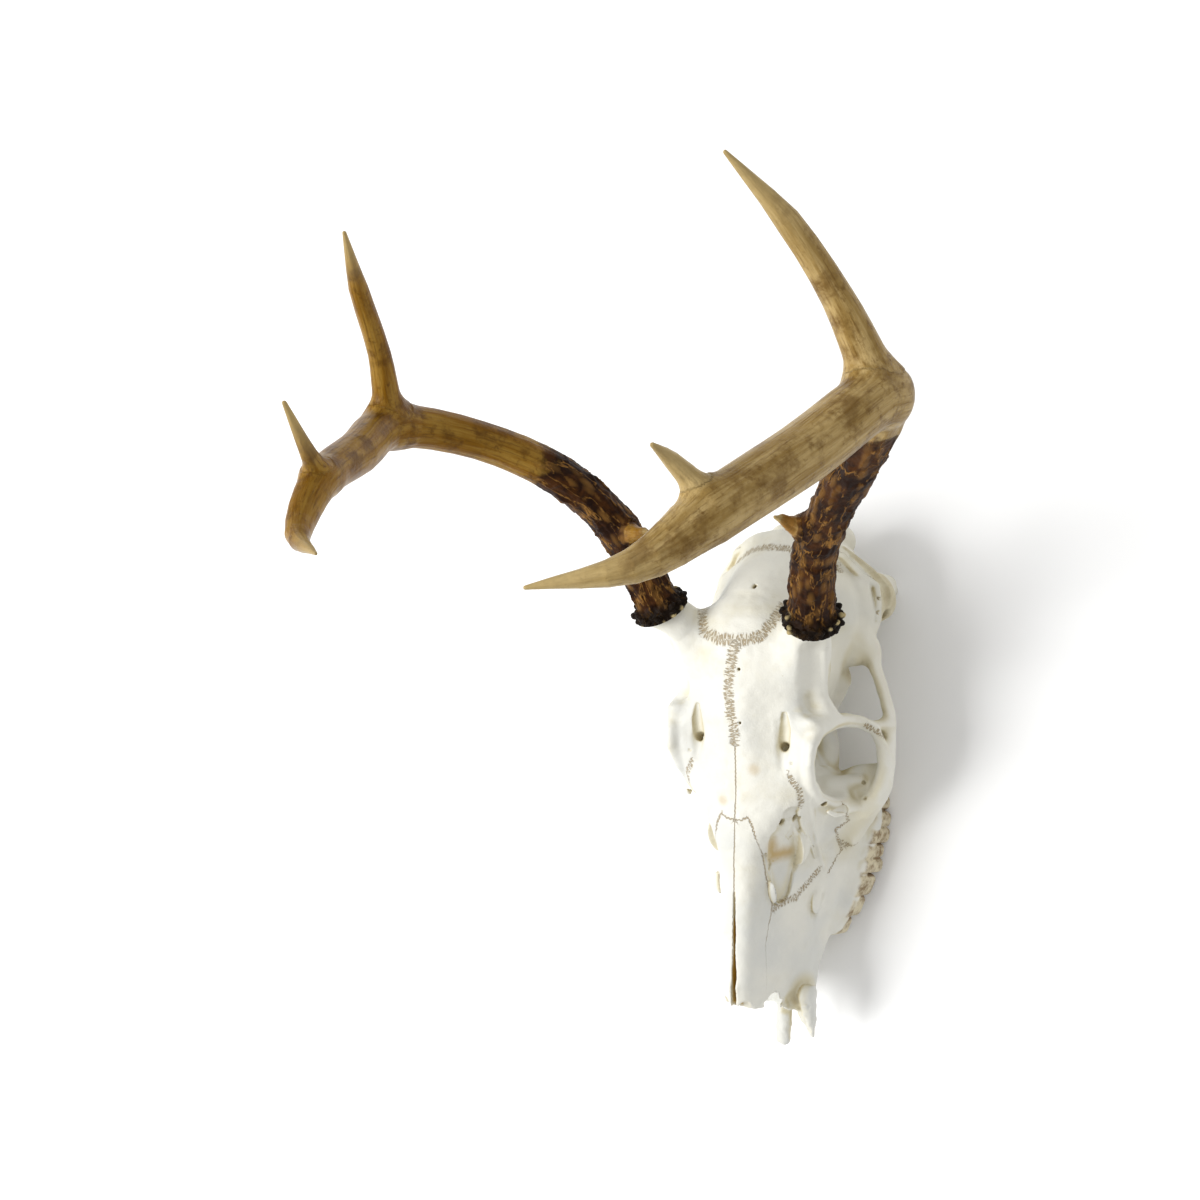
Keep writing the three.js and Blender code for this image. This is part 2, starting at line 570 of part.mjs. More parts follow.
// A prism over an outline of x and y, from z = from to z = to.
function topPrism(outline, from, to) {
  return (margin) => {
    const shape = new THREE.Shape(grown(outline, margin));
    const geometry = new THREE.ExtrudeGeometry(shape, { depth: to - from + 2 * margin, bevelEnabled: false });
    geometry.translate(0, 0, from - margin);
    return solidFrom(geometry);
  };
}

// A block that lies ahead of a point in a direction.
function ahead(point, direction, reach, width = reach) {
  return (margin) => {
    const geometry = new THREE.BoxGeometry(width, width, reach);
    geometry.translate(0, 0, reach / 2 - margin);
    geometry.applyQuaternion(new THREE.Quaternion().setFromUnitVectors(new THREE.Vector3(0, 0, 1), direction));
    geometry.translate(point.x, point.y, point.z);
    return solidFrom(geometry);
  };
}

function largest(solid) {
  return solid.decompose().reduce((best, piece) => (piece.volume() > best.volume() ? piece : best));
}

// Cuts named regions out of a solid one after the other, with an open line between neighbours.
function cutInto(solid, regions, nameOfRest) {
  let rest = solid;
  const pieces = regions.map(([name, region]) => {
    const piece = [name, largest(rest.intersect(region(0)))];
    rest = rest.subtract(region(GAP));
    return piece;
  });
  return [...pieces, [nameOfRest, largest(rest)]];
}

function meshOf(name, solid, look) {
  const { vertProperties, triVerts } = solid.getMesh();
  const geometry = new THREE.BufferGeometry();
  geometry.setAttribute("position", new THREE.BufferAttribute(new Float32Array(vertProperties), 3));
  geometry.setIndex(new THREE.BufferAttribute(new Uint32Array(triVerts), 1));
  geometry.computeVertexNormals();
  const mesh = new THREE.Mesh(geometry, new THREE.MeshStandardMaterial(look));
  mesh.name = name;
  return mesh;
}

// ---------------------------------------------------------------- the bones, by their sutures
const FAR = 75;
const MID = GAP / 2;
const bothSides = (name, outline, inner = MID) => [
  [`${name}_left`, sidePrism(outline, inner, FAR)],
  [`${name}_right`, sidePrism(outline, -FAR, -inner)],
];
const mirrored = (half) => [...half, ...half.slice().reverse().map(([x, y]) => [-x, y])];

// Outlines seen from the side (y, z), anticlockwise
const NASAL = [[-98, -31], [-83, -28], [-58, -24], [-39, -21.5], [-27, -15], [-16, -9.5], [-5, -2], [1, 8],
  [-98, 8]];
const FRONTAL = [[-15, -9], [9, -8], [18, -13], [28, -19], [40, -25], [46, -33], [57, -33], [60, -26],
  [72, -20], [84, -8], [86, 6], [92, 13], [110, 13], [110, 40], [-15, 40]];
const OCCIPITAL = [[113, -100], [160, -100], [160, 20], [128, 20], [126.5, -16], [122, -38], [113, -58]];
const TEMPORAL = [[58, -64], [74, -60], [84, -70], [84, -100], [130, -100], [130, 20], [84, -12], [60, -33],
  [58, -33]];
const JUGAL = [[-4, -60], [10, -65], [30, -66], [57.5, -66], [57.5, -32], [46, -32], [14, -38], [8, -43],
  [-4, -52]];
const LACRIMAL = [[-7, -30], [2, -44], [12, -44], [27, -38], [27, -10], [9, -7], [-7, -7]];
const MAXILLA = [[-125, -100], [26, -100], [26, 20], [-125, 20]];
// The parietal bone seen from above (x, y), right half from front to back
const PARIETAL = mirrored([[8, 82.5], [16, 86.5], [22, 95], [24.5, 103], [42, 106], [40, 119], [22, 127]]);

const SKULL_BONES = [
  ...bothSides("nasal", NASAL),
  ["parietal", topPrism(PARIETAL, -35, 30)],
  ...bothSides("frontal", FRONTAL),
  ["occipital", sidePrism(OCCIPITAL, -FAR, FAR)],
  ...bothSides("jugal", JUGAL, 37),
  ...bothSides("temporal", TEMPORAL, 17),
  ...bothSides("lacrimal", LACRIMAL, 13),
  ...bothSides("maxilla", MAXILLA),
];

// The cuts of an antler, from the tips down to its base
function antlerCuts(side, { beam, fork_tine, short_tine, brow_tine }) {
  // Square across a branch, some way past one of its points
  const past = (points, i, more, reach) => {
    const heading = headingOf(points[i], points[i + 1]);
    return ahead(pointOf(points[i]).addScaledVector(heading, more), heading, reach);
  };
  // Along the beam's side, where a tine leaves it near one of its points
  const offBeam = (tine, i, reach, width) => {
    const root = pointOf(beam[i]);
    const along = headingOf(beam[i - 1], beam[i + 1]);
    const across = (p) => p.clone().sub(root).projectOnPlane(along);
    const away = across(pointOf(tine[2])).normalize();
    const middle = pointOf(tine[1]);
    const depth = across(middle).dot(away) - beam[i][3] - 1.5;
    return ahead(middle.addScaledVector(away, -depth), away, reach, width);
  };
  return [
    [`antler_${side}_fork_tine`, past(fork_tine, 1, 0, 100)],
    [`antler_${side}_brow_tine`, offBeam(brow_tine, 1, 40, 20)],
    [`antler_${side}_tip`, past(beam, 6, 12, 100)],
    [`antler_${side}_short_tine`, offBeam(short_tine, 6, 34, 15)],
    [`antler_${side}_upper_beam`, past(beam, 4, 14, 240)],
  ];
}

const group = new THREE.Group();
group.name = "deer_skull";
group.position.set(...NASION);

// The pedicles are cut off square where the antlers stand on them.
const PEDICLE_BLOCK = 32;
function seatFor({ beam }) {
  const up = headingOf(beam[0], beam[1]);
  return ahead(pointOf(beam[0]).addScaledVector(up, -BURR.foot), up, PEDICLE_BLOCK)(GAP);
}

// What the skull rests on is worn flat.
const floor = ahead(new THREE.Vector3(0, 0, -NASION[2]), new THREE.Vector3(0, 0, -1), 300)(0);

const skullMesh = thinOut(surfaceOf(skull, [-66, -118, -96], [66, 156, 40], SKULL_STEP), SKULL_TRIANGLES);
const bone = [seatFor(LEFT_ANTLER), seatFor(RIGHT_ANTLER), floor]
  .reduce((rest, cutter) => rest.subtract(cutter), solidOf(skullMesh));
for (const [name, solid] of cutInto(bone, SKULL_BONES, "sphenoid")) group.add(meshOf(name, solid, BONE));
const antlerSides = [["left", LEFT_ANTLER, [20, 122]], ["right", RIGHT_ANTLER, [-122, -20]]];
for (const [side, branches, [from, to]] of antlerSides) {
  const surface = surfaceOf(antler(branches), [from, 66, 8], [to, 218, 254], ANTLER_STEP);
  const mesh = thinOut(surface, ANTLER_TRIANGLES);
  for (const [name, solid] of cutInto(solidOf(mesh), antlerCuts(side, branches), `antler_${side}_lower_beam`)) {
    group.add(meshOf(name, solid, ANTLER));
  }
}

export default group;
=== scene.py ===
"""Skull of a white-tailed deer buck with its antlers, as it lies on a pale studio floor.

Every bone and every length of antler is meshed finely from one smooth distance field, in millimetres from
the nasion (the point where the nasal bones meet the forehead), and replaces the CAD node of the same name.
"""
import math
from functools import partialmethod

import bpy
import numpy as np
from mathutils import Matrix


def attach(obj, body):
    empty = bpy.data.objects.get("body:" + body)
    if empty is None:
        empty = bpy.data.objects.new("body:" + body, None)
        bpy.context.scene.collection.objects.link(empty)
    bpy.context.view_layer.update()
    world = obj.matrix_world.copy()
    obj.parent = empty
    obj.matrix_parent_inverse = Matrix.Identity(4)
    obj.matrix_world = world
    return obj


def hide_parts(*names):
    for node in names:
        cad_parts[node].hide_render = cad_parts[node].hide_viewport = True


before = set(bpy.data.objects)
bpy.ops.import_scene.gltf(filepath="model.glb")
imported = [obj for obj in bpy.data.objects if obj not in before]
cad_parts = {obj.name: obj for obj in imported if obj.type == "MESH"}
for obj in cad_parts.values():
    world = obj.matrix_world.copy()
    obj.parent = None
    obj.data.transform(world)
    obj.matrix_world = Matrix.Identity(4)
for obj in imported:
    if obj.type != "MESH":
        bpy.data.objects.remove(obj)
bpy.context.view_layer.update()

MM = 0.001
NASION = np.array([0.1, -47.6, 92.0])
FLOOR = -NASION[2]
SKULL_CELL = 0.7
ANTLER_CELL = 0.62

# ---- shape tables, as in the CAD source
# y, top z, half width of the roof, spread per mm of depth, half width low down, bottom z
FACE = np.array([
    [-118, -24, 3, 0.40, 20, -64], [-88, -18.6, 3.3, 0.40, 22, -66], [-70, -14.4, 3.8, 0.41, 23, -67],
    [-52, -10.6, 4.6, 0.42, 26, -69], [-34, -6.6, 5.4, 0.43, 30, -70], [-16, -2.8, 6.6, 0.44, 34, -70],
    [-6, -1.2, 10, 0.46, 37, -68], [4, 0.4, 16, 0.45, 40, -64], [12, 1.6, 22, 0.45, 40, -60],
    [20, 3, 27, 0.45, 36, -57], [28, 4, 24, 0.5, 24, -54], [42, 5, 20, 0.5, 16, -50]])
# y, top z, half width, fall of the side edge
FOREHEAD = np.array([
    [-12, -2.2, 8, 2], [0, 0.3, 13, 3], [8, 1.8, 19.5, 4.5], [15, 3.4, 26.5, 6.5], [22, 5.2, 33, 7.5],
    [30, 7.4, 36, 4.5], [38, 9.6, 36.5, 5.5], [45, 11.6, 36.5, 10], [52, 13.7, 32, 13], [62, 16, 29, 11.5],
    [72, 18.2, 31, 9], [82, 19.6, 29, 9], [92, 18, 24, 9], [100, 14, 21, 9]])
# y, top z, bottom z, half width high up, half width low down
BRAINCASE = np.array([
    [34, 4, -50, 18, 22], [48, 8, -54, 20, 28], [60, 12, -57, 26, 32], [72, 15, -60, 30, 34],
    [84, 17.6, -62, 28, 36], [96, 15.5, -64, 22.5, 38], [106, 9.5, -65, 18.5, 39], [116, 0, -66, 16.5, 39],
    [126, -12.5, -66, 16.5, 37], [134, -22, -66, 18, 33], [140, -29, -66, 15, 25]])
# x, y, half width, half length of a lobe's pitch, z of the chewing face, lobes, turn in degrees
TEETH = [
    (27.0, -51.2, 4.8, 4.8, -85, 1, -18), (31.2, -40.5, 5.8, 5.4, -86.2, 1, -18),
    (34.2, -29.5, 6.6, 5.4, -87.5, 1, -18), (36.6, -16.5, 7, 7.2, -89.2, 2, -6),
    (37.6, -1, 7.4, 7.8, -91, 2, -6), (35.8, 14, 7, 7.4, -93, 2, 6)]
GUM_LINE = -70.0
TOOTH_FLARE = 0.2

# Antlers: points of each branch as x, y, z and radius
LEFT_ANTLER = {
    "beam": [[37.5, 94.5, 24, 10], [46.6, 117.6, 51, 9.1], [63.5, 132, 80, 8.4], [84.8, 145.6, 112, 8.1],
             [101, 154.5, 148, 9.8], [89.5, 129.5, 179, 9.8], [76.2, 105, 210, 9.2], [64, 88, 228, 5.2],
             [39.5, 79.2, 242, 1]],
    "fork_tine": [[101, 154.5, 148, 9], [98, 166, 159, 6.8], [93, 179, 171.5, 5.4], [84.3, 195, 194, 4.2],
                  [73, 207.7, 215.5, 1]],
    "short_tine": [[77, 108, 206, 5], [69.5, 118, 222.5, 2.8], [68.5, 120, 232, 1.1]],
    "brow_tine": [[53, 123.5, 61, 6.5], [47, 125.6, 71.5, 4.2], [41.2, 127, 82.5, 1]]}
RIGHT_ANTLER = {
    "beam": [[-37.5, 94.5, 24, 10], [-46.5, 125.5, 52, 9.3], [-61.5, 144, 81, 8.8],
             [-84.8, 153.5, 112, 8.6], [-102, 151.5, 147, 9.4], [-89, 132.5, 179, 8.6],
             [-74, 114, 211, 7.2], [-62, 94, 229, 4.6], [-38.5, 86, 243, 0.9]],
    "fork_tine": [[-102, 152, 147, 8.8], [-97.5, 162, 158, 6], [-92.5, 174, 169.5, 5], [-84.3, 191, 193, 4],
                  [-73.3, 202.5, 213.8, 1.1]],
    "short_tine": [[-76.8, 117.5, 206, 5.8], [-69.5, 122, 221, 3.4], [-68.5, 136, 235.5, 1.2]],
    "brow_tine": [[-46.5, 124.5, 52, 6.5], [-37, 123.6, 57.5, 4], [-26, 123.5, 62.5, 1]]}
BURR_RING, BURR_TUBE, BURR_FOOT = 10.4, 3.7, 3.0


# ---- distance fields
# A shape is a function of an array of points (n, 3); join and carve blend two distances over a width.
def join(a, b, width):
    h = np.clip(0.5 + 0.5 * (b - a) / width, 0, 1)
    return b + (a - b) * h - width * h * (1 - h)


def carve(a, b, width):
    return -join(-a, b, width)


def both(a, b, width):
    return -join(-a, -b, width)


def length(*parts):
    return np.sqrt(sum(part * part for part in parts))


def row_lengths(vectors):
    return np.linalg.norm(vectors, axis=1)


def stations(table, y):
    return [np.interp(y, table[:, 0], table[:, k]).astype(np.float32) for k in range(1, table.shape[1])]


def left_half(p):
    """The points with the right side's mirrored to the left, where x is positive."""
    half = p.copy()
    half[:, 0] = np.abs(p[:, 0])
    return half


def ellipsoid(centre, radii, yaw=0.0, roll=0.0):
    cy, sy = math.cos(math.radians(yaw)), math.sin(math.radians(yaw))
    cr, sr = math.cos(math.radians(roll)), math.sin(math.radians(roll))

    def field(p):
        x0, y0, z0 = (p[:, k] - centre[k] for k in range(3))
        x1 = x0 * cy + y0 * sy
        y = y0 * cy - x0 * sy
        x = x1 * cr - z0 * sr
        z = z0 * cr + x1 * sr
        near = length(x / radii[0], y / radii[1], z / radii[2]) + 1e-9
        slope = length(x / radii[0] ** 2, y / radii[1] ** 2, z / radii[2] ** 2) + 1e-9
        return near * (near - 1) / slope
    return field


def chain(points, flat=(1, 1, 1)):
    """Tapered rods through points of x, y, z and radius, flattened across an axis where flat is under 1."""
    def field(p):
        best = None
        for a, b in zip(points[:-1], points[1:]):
            d = [(b[k] - a[k]) / flat[k] for k in range(3)]
            q = [(p[:, k] - a[k]) / flat[k] for k in range(3)]
            t = np.clip(sum(q[k] * d[k] for k in range(3)) / sum(v * v for v in d), 0, 1)
            far = length(*(q[k] - t * d[k] for k in range(3))) - (a[3] + t * (b[3] - a[3]))
            best = far if best is None else np.minimum(best, far)
        return best * min(flat)
    return field


def block(centre, half, rounding, yaw=0.0):
    c, s = math.cos(math.radians(yaw)), math.sin(math.radians(yaw))

    def field(p):
        x0, y0, z0 = (p[:, k] - centre[k] for k in range(3))
        x = np.abs(x0 * c + y0 * s) - half[0] + rounding
        y = np.abs(y0 * c - x0 * s) - half[1] + rounding
        z = np.abs(z0) - half[2] + rounding
        inside = np.minimum(np.maximum(np.maximum(x, y), z), 0)
        return length(np.maximum(x, 0), np.maximum(y, 0), np.maximum(z, 0)) + inside - rounding
    return field


def face(p):
    top, roof, spread, low, bottom = stations(FACE, p[:, 1])
    out = np.sqrt(p[:, 0] ** 2 + 4) - 2
    side = (out - roof - spread * (top - p[:, 2])) / np.sqrt(1 + spread * spread)
    d = both(side, p[:, 2] - top + 0.012 * out * out, 5)
    d = both(d, out - low, 5)
    d = both(d, bottom - p[:, 2], 4)
    front = -88 - p[:, 1] + 0.13 * (p[:, 2] + 20)
    return both(d, np.maximum(front, p[:, 1] - 42), 2)


def forehead(p):
    top, width, drop = stations(FOREHEAD, p[:, 1])
    u = np.abs(p[:, 0]) / width
    lift = np.abs((p[:, 2] + drop * u ** 2.2 - top + 6) / 6)
    d = ((u ** 6 + lift ** 6) ** (1 / 6) - 1) * 6
    return both(d, np.maximum(-12 - p[:, 1], p[:, 1] - 100), 5)


def braincase(p):
    top, bottom, wide, low = stations(BRAINCASE, p[:, 1])
    depth = np.clip((top - p[:, 2]) / (top - bottom), 0, 1)
    width = wide + (low - wide) * depth
    height = (top - bottom) / 2
    u = np.abs(p[:, 0]) / width
    v = np.abs(p[:, 2] - (top + bottom) / 2) / height
    d = ((u ** 2.3 + v ** 2.3) ** (1 / 2.3) - 1) * np.minimum(width, height)
    return both(d, np.maximum(34 - p[:, 1], p[:, 1] - 140), 8)


def tooth_lobes():
    for x, y, half, pitch, chewing, lobes, turn in TEETH:
        for i in range(lobes):
            centre = (x, y + (i - (lobes - 1) / 2) * pitch, (chewing + GUM_LINE) / 2)
            yield block(centre, (half, pitch / lobes * 1.06, (GUM_LINE - chewing) / 2), 3, turn)


LOBES = list(tooth_lobes())


def teeth(p):
    upright = p.copy()
    upright[:, 0] += TOOTH_FLARE * (p[:, 2] + 84)
    best = LOBES[0](upright)
    for lobe in LOBES[1:]:
        best = np.minimum(best, lobe(upright))
    return best


EYE_RIM = [(*point, 2.4) for point in [
    (33.2, 21.6, -4.5), (34.3, 29.8, 4), (34.8, 38.2, 4.5), (36.6, 44.6, 1), (37.2, 49, -11),
    (40.4, 50.8, -22), (46, 50.8, -28), (51.2, 47.6, -33.3), (54, 40, -38), (55.4, 32.3, -41),
    (53.2, 23.5, -44.5), (49.8, 16.6, -46), (43.8, 11.4, -45), (39, 9.8, -40), (35.2, 11.2, -29),
    (33, 15, -16.5), (33.2, 21.6, -4.5)]]
CHEEK_ARCH = [
    (38, -4, -58, 5), (44, 8, -58, 7), (51, 20, -53, 8), (54.2, 33, -48, 8), (53.9, 44, -49, 6.5),
    (52.6, 54, -51, 5.5), (49.2, 65, -49.5, 5), (44.8, 76, -48, 5), (40.5, 85, -49, 6), (36, 94, -50, 8)]
SYMMETRIC = [
    (join, face, 5),
    (join, forehead, 4),
    # antler pedicle
    (join, chain([(24, 75, 2, 12.5), (30, 86, 11, 11), (36.5, 93, 21.5, 9.8)]), 6),
    # wall of the braincase low down, beside the openings to the throat
    (join, chain([(20, 40, -45, 7), (20, 56, -48, 7), (24, 70, -49, 8)]), 5),
    # eye socket and the hollows for the chewing muscles behind it
    (carve, ellipsoid((43.5, 30, -21), (24, 19, 24), roll=-24), 3),
    (carve, ellipsoid((46, 52, -40), (16, 20, 28)), 4),
    (carve, ellipsoid((46, 41, -62), (17, 14.5, 34)), 4),
    # floor and inner wall of the socket
    (join, ellipsoid((38.5, 16, -49.5), (20, 12, 5), yaw=36), 3),
    (join, chain([(25.5, 50, -36, 4.5), (26.5, 38, -41, 5.5), (25.5, 27, -47, 5)]), 3),
    (join, chain([(29.5, 19, -37.5, 3.5), (36, 21, -44.5, 3.5)]), 3),
    # rim of the socket, cheek arch and the bar between them
    (join, chain(EYE_RIM), 3),
    (join, chain(CHEEK_ARCH, (0.4, 1, 1)), 4),
    (join, chain([(34, 48, 2, 5), (38.5, 50, -9, 4), (42.5, 50.4, -23, 2.6), (47.5, 49.6, -33, 2.6),
        (51.8, 50, -46, 3.6)], (1, 0.7, 1)), 4),
    # side wall of the braincase
    (join, ellipsoid((22, 99, -37), (15.5, 24, 20)), 6),
    (join, chain([(34, 82, -44, 5), (35, 92, -46, 6), (35.5, 103, -45, 6.5), (34, 114, -43, 6)]), 5),
    # ear region, bulla and the process behind the ear that the skull rests on
    (join, chain([(26, 88, -50, 8), (40, 85, -50, 4.5)], (1, 1, 0.6)), 5),
    (join, chain([(24, 98, -54, 8), (36, 100, -54, 6)]), 6),
    (join, ellipsoid((38, 110, -63), (8.5, 9, 13)), 6),
    (join, ellipsoid((20, 102, -70), (7.5, 12, 9)), 4),
    (join, chain([(36, 117, -62, 8), (37, 120, -76, 5.5), (36, 119, -89.8, 3.2)]), 5),
    # nuchal crest across the back
    (join, chain([(0, 136, -26, 4), (14, 134.5, -29.5, 3.6), (27, 130, -38, 3.6), (36.5, 121.5, -50, 4),
        (41, 113, -59, 4)]), 6),
    # neck joint and the base of the skull
    (join, ellipsoid((13.5, 140, -64), (9.5, 9, 11), yaw=25), 3),
    (join, chain([(0, 134, -72, 8), (0, 100, -73, 8), (0, 66, -66, 9)]), 5),
    (join, block((11, 48, -66), (2.2, 16, 14), 1.6), 3),
    # bone that holds the cheek teeth, the teeth, and the hollow of the palate
    (join, chain([(24.5, -50, -74.5, 6.5), (29, -38, -76, 7.5), (32.6, -18, -77, 8), (36, 2, -77.5, 8.5),
        (36, 14, -77, 7.5)]), 6),
    (carve, chain([(0, -95, -76, 14), (0, -60, -82, 16), (0, -30, -89, 22), (0, 20, -91, 24)]), 4),
    (join, teeth, 1),
    # nasal cavity, hole for the spinal cord, inner nostrils, ear hole
    (carve, chain([(0, -120, -47, 16.5), (0, -84, -43, 15), (0, -62, -41, 13), (0, -40, -38, 7)],
        (0.9, 1, 1)), 2),
    (carve, chain([(0, 156, -58, 9), (0, 130, -50, 9), (0, 105, -40, 14)]), 2),
    (carve, chain([(0, 62, -78, 7.5), (0, 30, -67, 7.5), (0, 12, -60, 6)]), 2),
    (carve, chain([(50, 104, -58, 3.2), (32, 103, -60, 2.5)]), 1),
    # hollow, groove and hole above the eye
    (carve, chain([(20.5, 49, 22, 14), (21, 36, 17.6, 14), (21.5, 26, 16.6, 14)]), 6),
    (carve, chain([(20.3, 46, 7, 1.8), (21.3, 36, 3.6, 2.8), (21.5, 27, 3.4, 1.8)]), 2),
    (carve, chain([(21.6, 36.6, 2, 2.3), (20, 33, -9, 2.2)]), 0.6),
    # hollow strip along the side of the forehead, and the edge beside it, up to the pedicle
    (carve, chain([(40, 78, 17, 8), (37.6, 65, 8.1, 8), (37, 58, 4, 7)]), 4),
    (join, chain([(36, 84, 6, 3), (33.4, 76, -1, 3), (31.6, 68, -5, 3), (32, 60, -7, 3),
        (36, 53, -9, 3)]), 5),
    # opening before the eye, the scrolls of bone in it, hollow below the eye, hole in the cheek
    (carve, chain([(23.5, 6, -9, 4), (20.5, -6, -17, 8), (18.5, -19, -22, 9.5), (15.5, -33, -25, 5)]), 1),
    (join, ellipsoid((14, -26, -25.5), (5.5, 13, 10)), 0.8),
    (join, ellipsoid((20.5, -10, -29), (5, 10, 8.5)), 0.8),
    (join, ellipsoid((17, -1, -13), (4.2, 8.5, 6)), 0.8),
    (join, ellipsoid((15.5, -13, -18.5), (5, 8, 6.5)), 0.8),
    (carve, ellipsoid((35.8, -2, -34.5), (6, 13.5, 9.5), yaw=-14), 1),
    (carve, chain([(27, -54, -50, 2.6), (24, -36, -48, 2)]), 1.5),
    # broken front edges of the upper jaw and of the nasal bones
    (carve, ellipsoid((26, -90, -45), (12, 12, 11)), 1),
    (carve, ellipsoid((5.5, -92, -20), (4.8, 7.2, 5)), 0.5)]
# half width of the nasal bones at y -16, and how much wider they are per mm further forward
NASAL_EDGE, NASAL_SPREAD = 11.9, 0.078
PLATES = chain([(23.5, 6, -9, 4), (19.5, -6, -15, 8.5), (18, -19, -21, 9.5), (15.8, -32, -25, 6)])


def opening(p):
    """The opening before the eye, up to the edge of the nasal bone."""
    return np.maximum(PLATES(p), NASAL_EDGE - NASAL_SPREAD * (p[:, 1] + 16) - p[:, 0])


def plate(depth, region):
    """Bone within a region, up to a depth below the surface of the face."""
    return lambda p: np.maximum(face(p) + depth, region(p))


def lid(depth):
    """What lies above that depth within the opening before the eye."""
    return lambda p: np.maximum(-face(p) - depth, opening(p))


FINE = [
    # smooth plates in the opening before the eye, nothing above them, and the cleft along the nasal bone
    (carve, lid(1.3), 0.3),
    (join, plate(1.9, lambda p: opening(p) - 1), 0.5),
    (join, plate(1.0, ellipsoid((15, -13, -14), (3.2, 7, 7))), 0.5),
    (carve, chain([(11.9, -15, -10.4, 1), (12.9, -27, -17, 1), (13.9, -38, -23.4, 1)]), 0.3),
    (carve, chain([(13.6, -41, -23.2, 0.6), (12.8, -58, -23.4, 0.55), (13.6, -72, -27.6, 0.6),
        (13.4, -82, -30, 0.7)]), 0.3),
    # groove down to the hole above the eye
    (carve, chain([(21.9, 50.4, 6.4, 1.5), (22, 44, 4.9, 2.7), (21.6, 38, 2.8, 2.8)]), 0.4),
    # sharp edges of the forehead and of the crest across the back, with its notches
    (join, chain([(38.2, 80, 7.5, 1.2), (37.3, 76, 3.8, 1.3), (35.6, 68, -3, 1.3), (35.6, 60, -7.6, 1.2),
        (38.5, 54, -11, 1.1)]), 1.3),
    (join, chain([(14, 133.5, -29, 1.6), (21, 132, -31.2, 1.6), (28.2, 128.6, -34.6, 1.7),
        (31.6, 124.6, -38.6, 1.7), (35.1, 120.7, -41.3, 1.8), (38.4, 118.6, -44.6, 1.8),
        (41, 116.6, -48, 1.9), (42, 112, -48.6, 1.9), (42.4, 107, -48.6, 1.9), (42.2, 101, -48, 1.6)]), 1),
    (carve, chain([(24, 136.4, -34, 1.6), (30.5, 131.4, -38.6, 1.8), (36.8, 125.4, -44.2, 2),
        (41.4, 121.6, -50, 2.2), (45, 116.4, -54, 2.2), (45.8, 109.4, -54.6, 2.2),
        (45.6, 103.4, -54, 1.8)]), 0.6),
    (carve, ellipsoid((44, 110.4, -47.6), (2.2, 0.9, 3)), 0.3),
    (carve, ellipsoid((44.2, 103.6, -47.4), (2, 1.1, 3)), 0.3),
    (carve, ellipsoid((37, 122.6, -42), (1.2, 1.2, 2)), 0.3),
    (carve, ellipsoid((31.4, 128.6, -36.4), (1.1, 1.1, 1.8)), 0.3),
    # shelf of the eye socket's floor, a fold in its inner wall, and two small holes in the floor
    (join, chain([(31, 19, -38, 2.5), (37, 21.5, -44.5, 3), (43, 23, -46, 3)]), 1.5),
    (carve, chain([(34.6, 47, -31, 0.9), (34.4, 41, -36, 0.9)]), 0.5),
    (carve, ellipsoid((44.6, 22, -44.4), (0.8, 0.8, 1.4)), 0.3),
    (carve, ellipsoid((46.4, 14.8, -43), (0.8, 0.8, 1.4)), 0.3),
    # small hole beside the groove
    (carve, chain([(25.6, 29, 2, 0.8), (25.6, 29, 6, 0.8)]), 0.4),
    # struts, a spike and holes in the plates of the opening before the eye
    (join, chain([(21, 3, -13.4, 1), (20.6, 0, -18.5, 1.2), (21, -5, -24, 1.3), (19.6, -11, -27.8, 1),
        (18.6, -15.2, -30, 0.5)]), 0.6),
    (join, chain([(25.2, 7, -13, 1), (24.6, 0, -22, 1.1), (25, -8, -31.5, 0.9),
        (25.4, -16, -40, 0.6)]), 0.6),
    (carve, chain([(19.6, 1.5, -9.4, 1.5), (16.6, 1.2, -10.8, 1.4)]), 0.4),
    (carve, ellipsoid((22.6, 4.2, -15.8), (3, 2.2, 1.4)), 0.4),
    (carve, ellipsoid((21.8, -6.4, -29.2), (3.2, 2.6, 1.7)), 0.4),
    (carve, chain([(24.8, -9.8, -36, 0.9), (22, -9.8, -37, 0.9)]), 0.3),
    (carve, chain([(22, -13.8, -34.2, 1.3), (19.8, -13.8, -35.2, 1.2)]), 0.4),
    (carve, chain([(18.8, -15.6, -30.4, 0.55), (20.4, -22.6, -35.8, 0.45)]), 0.3),
    # tear duct hole at the rim of the eye socket, and the ridge beside it
    (carve, chain([(36, 10.5, -19, 1.5), (31, 13, -24, 1.5)]), 0.5),
    (join, chain([(36.4, 8, -22, 1), (38, 6.6, -27, 1.3), (39.8, 7, -32, 1)]), 0.8),
    # ridge beside the hollow below the eye, and the oval ring on the cheek
    (join, chain([(30.6, 14, -12, 0.9), (28.2, 3, -25.3, 1.0), (26.4, -9.8, -38.2, 1.0),
        (27, -22.4, -49.6, 0.9)]), 1.2),
    (join, ellipsoid((24.6, -37, -50), (2.4, 7, 5.4)), 1),
    (carve, ellipsoid((28, -36.5, -51), (2.2, 4.6, 2.4)), 0.5)]
GAP_BETWEEN_NASALS = chain(
    [(0, -34, -7, 0.6), (0, -50, -11, 1.5), (0, -75, -16, 3), (0, -100, -20, 4.2)], (0.35, 1, 2.2))
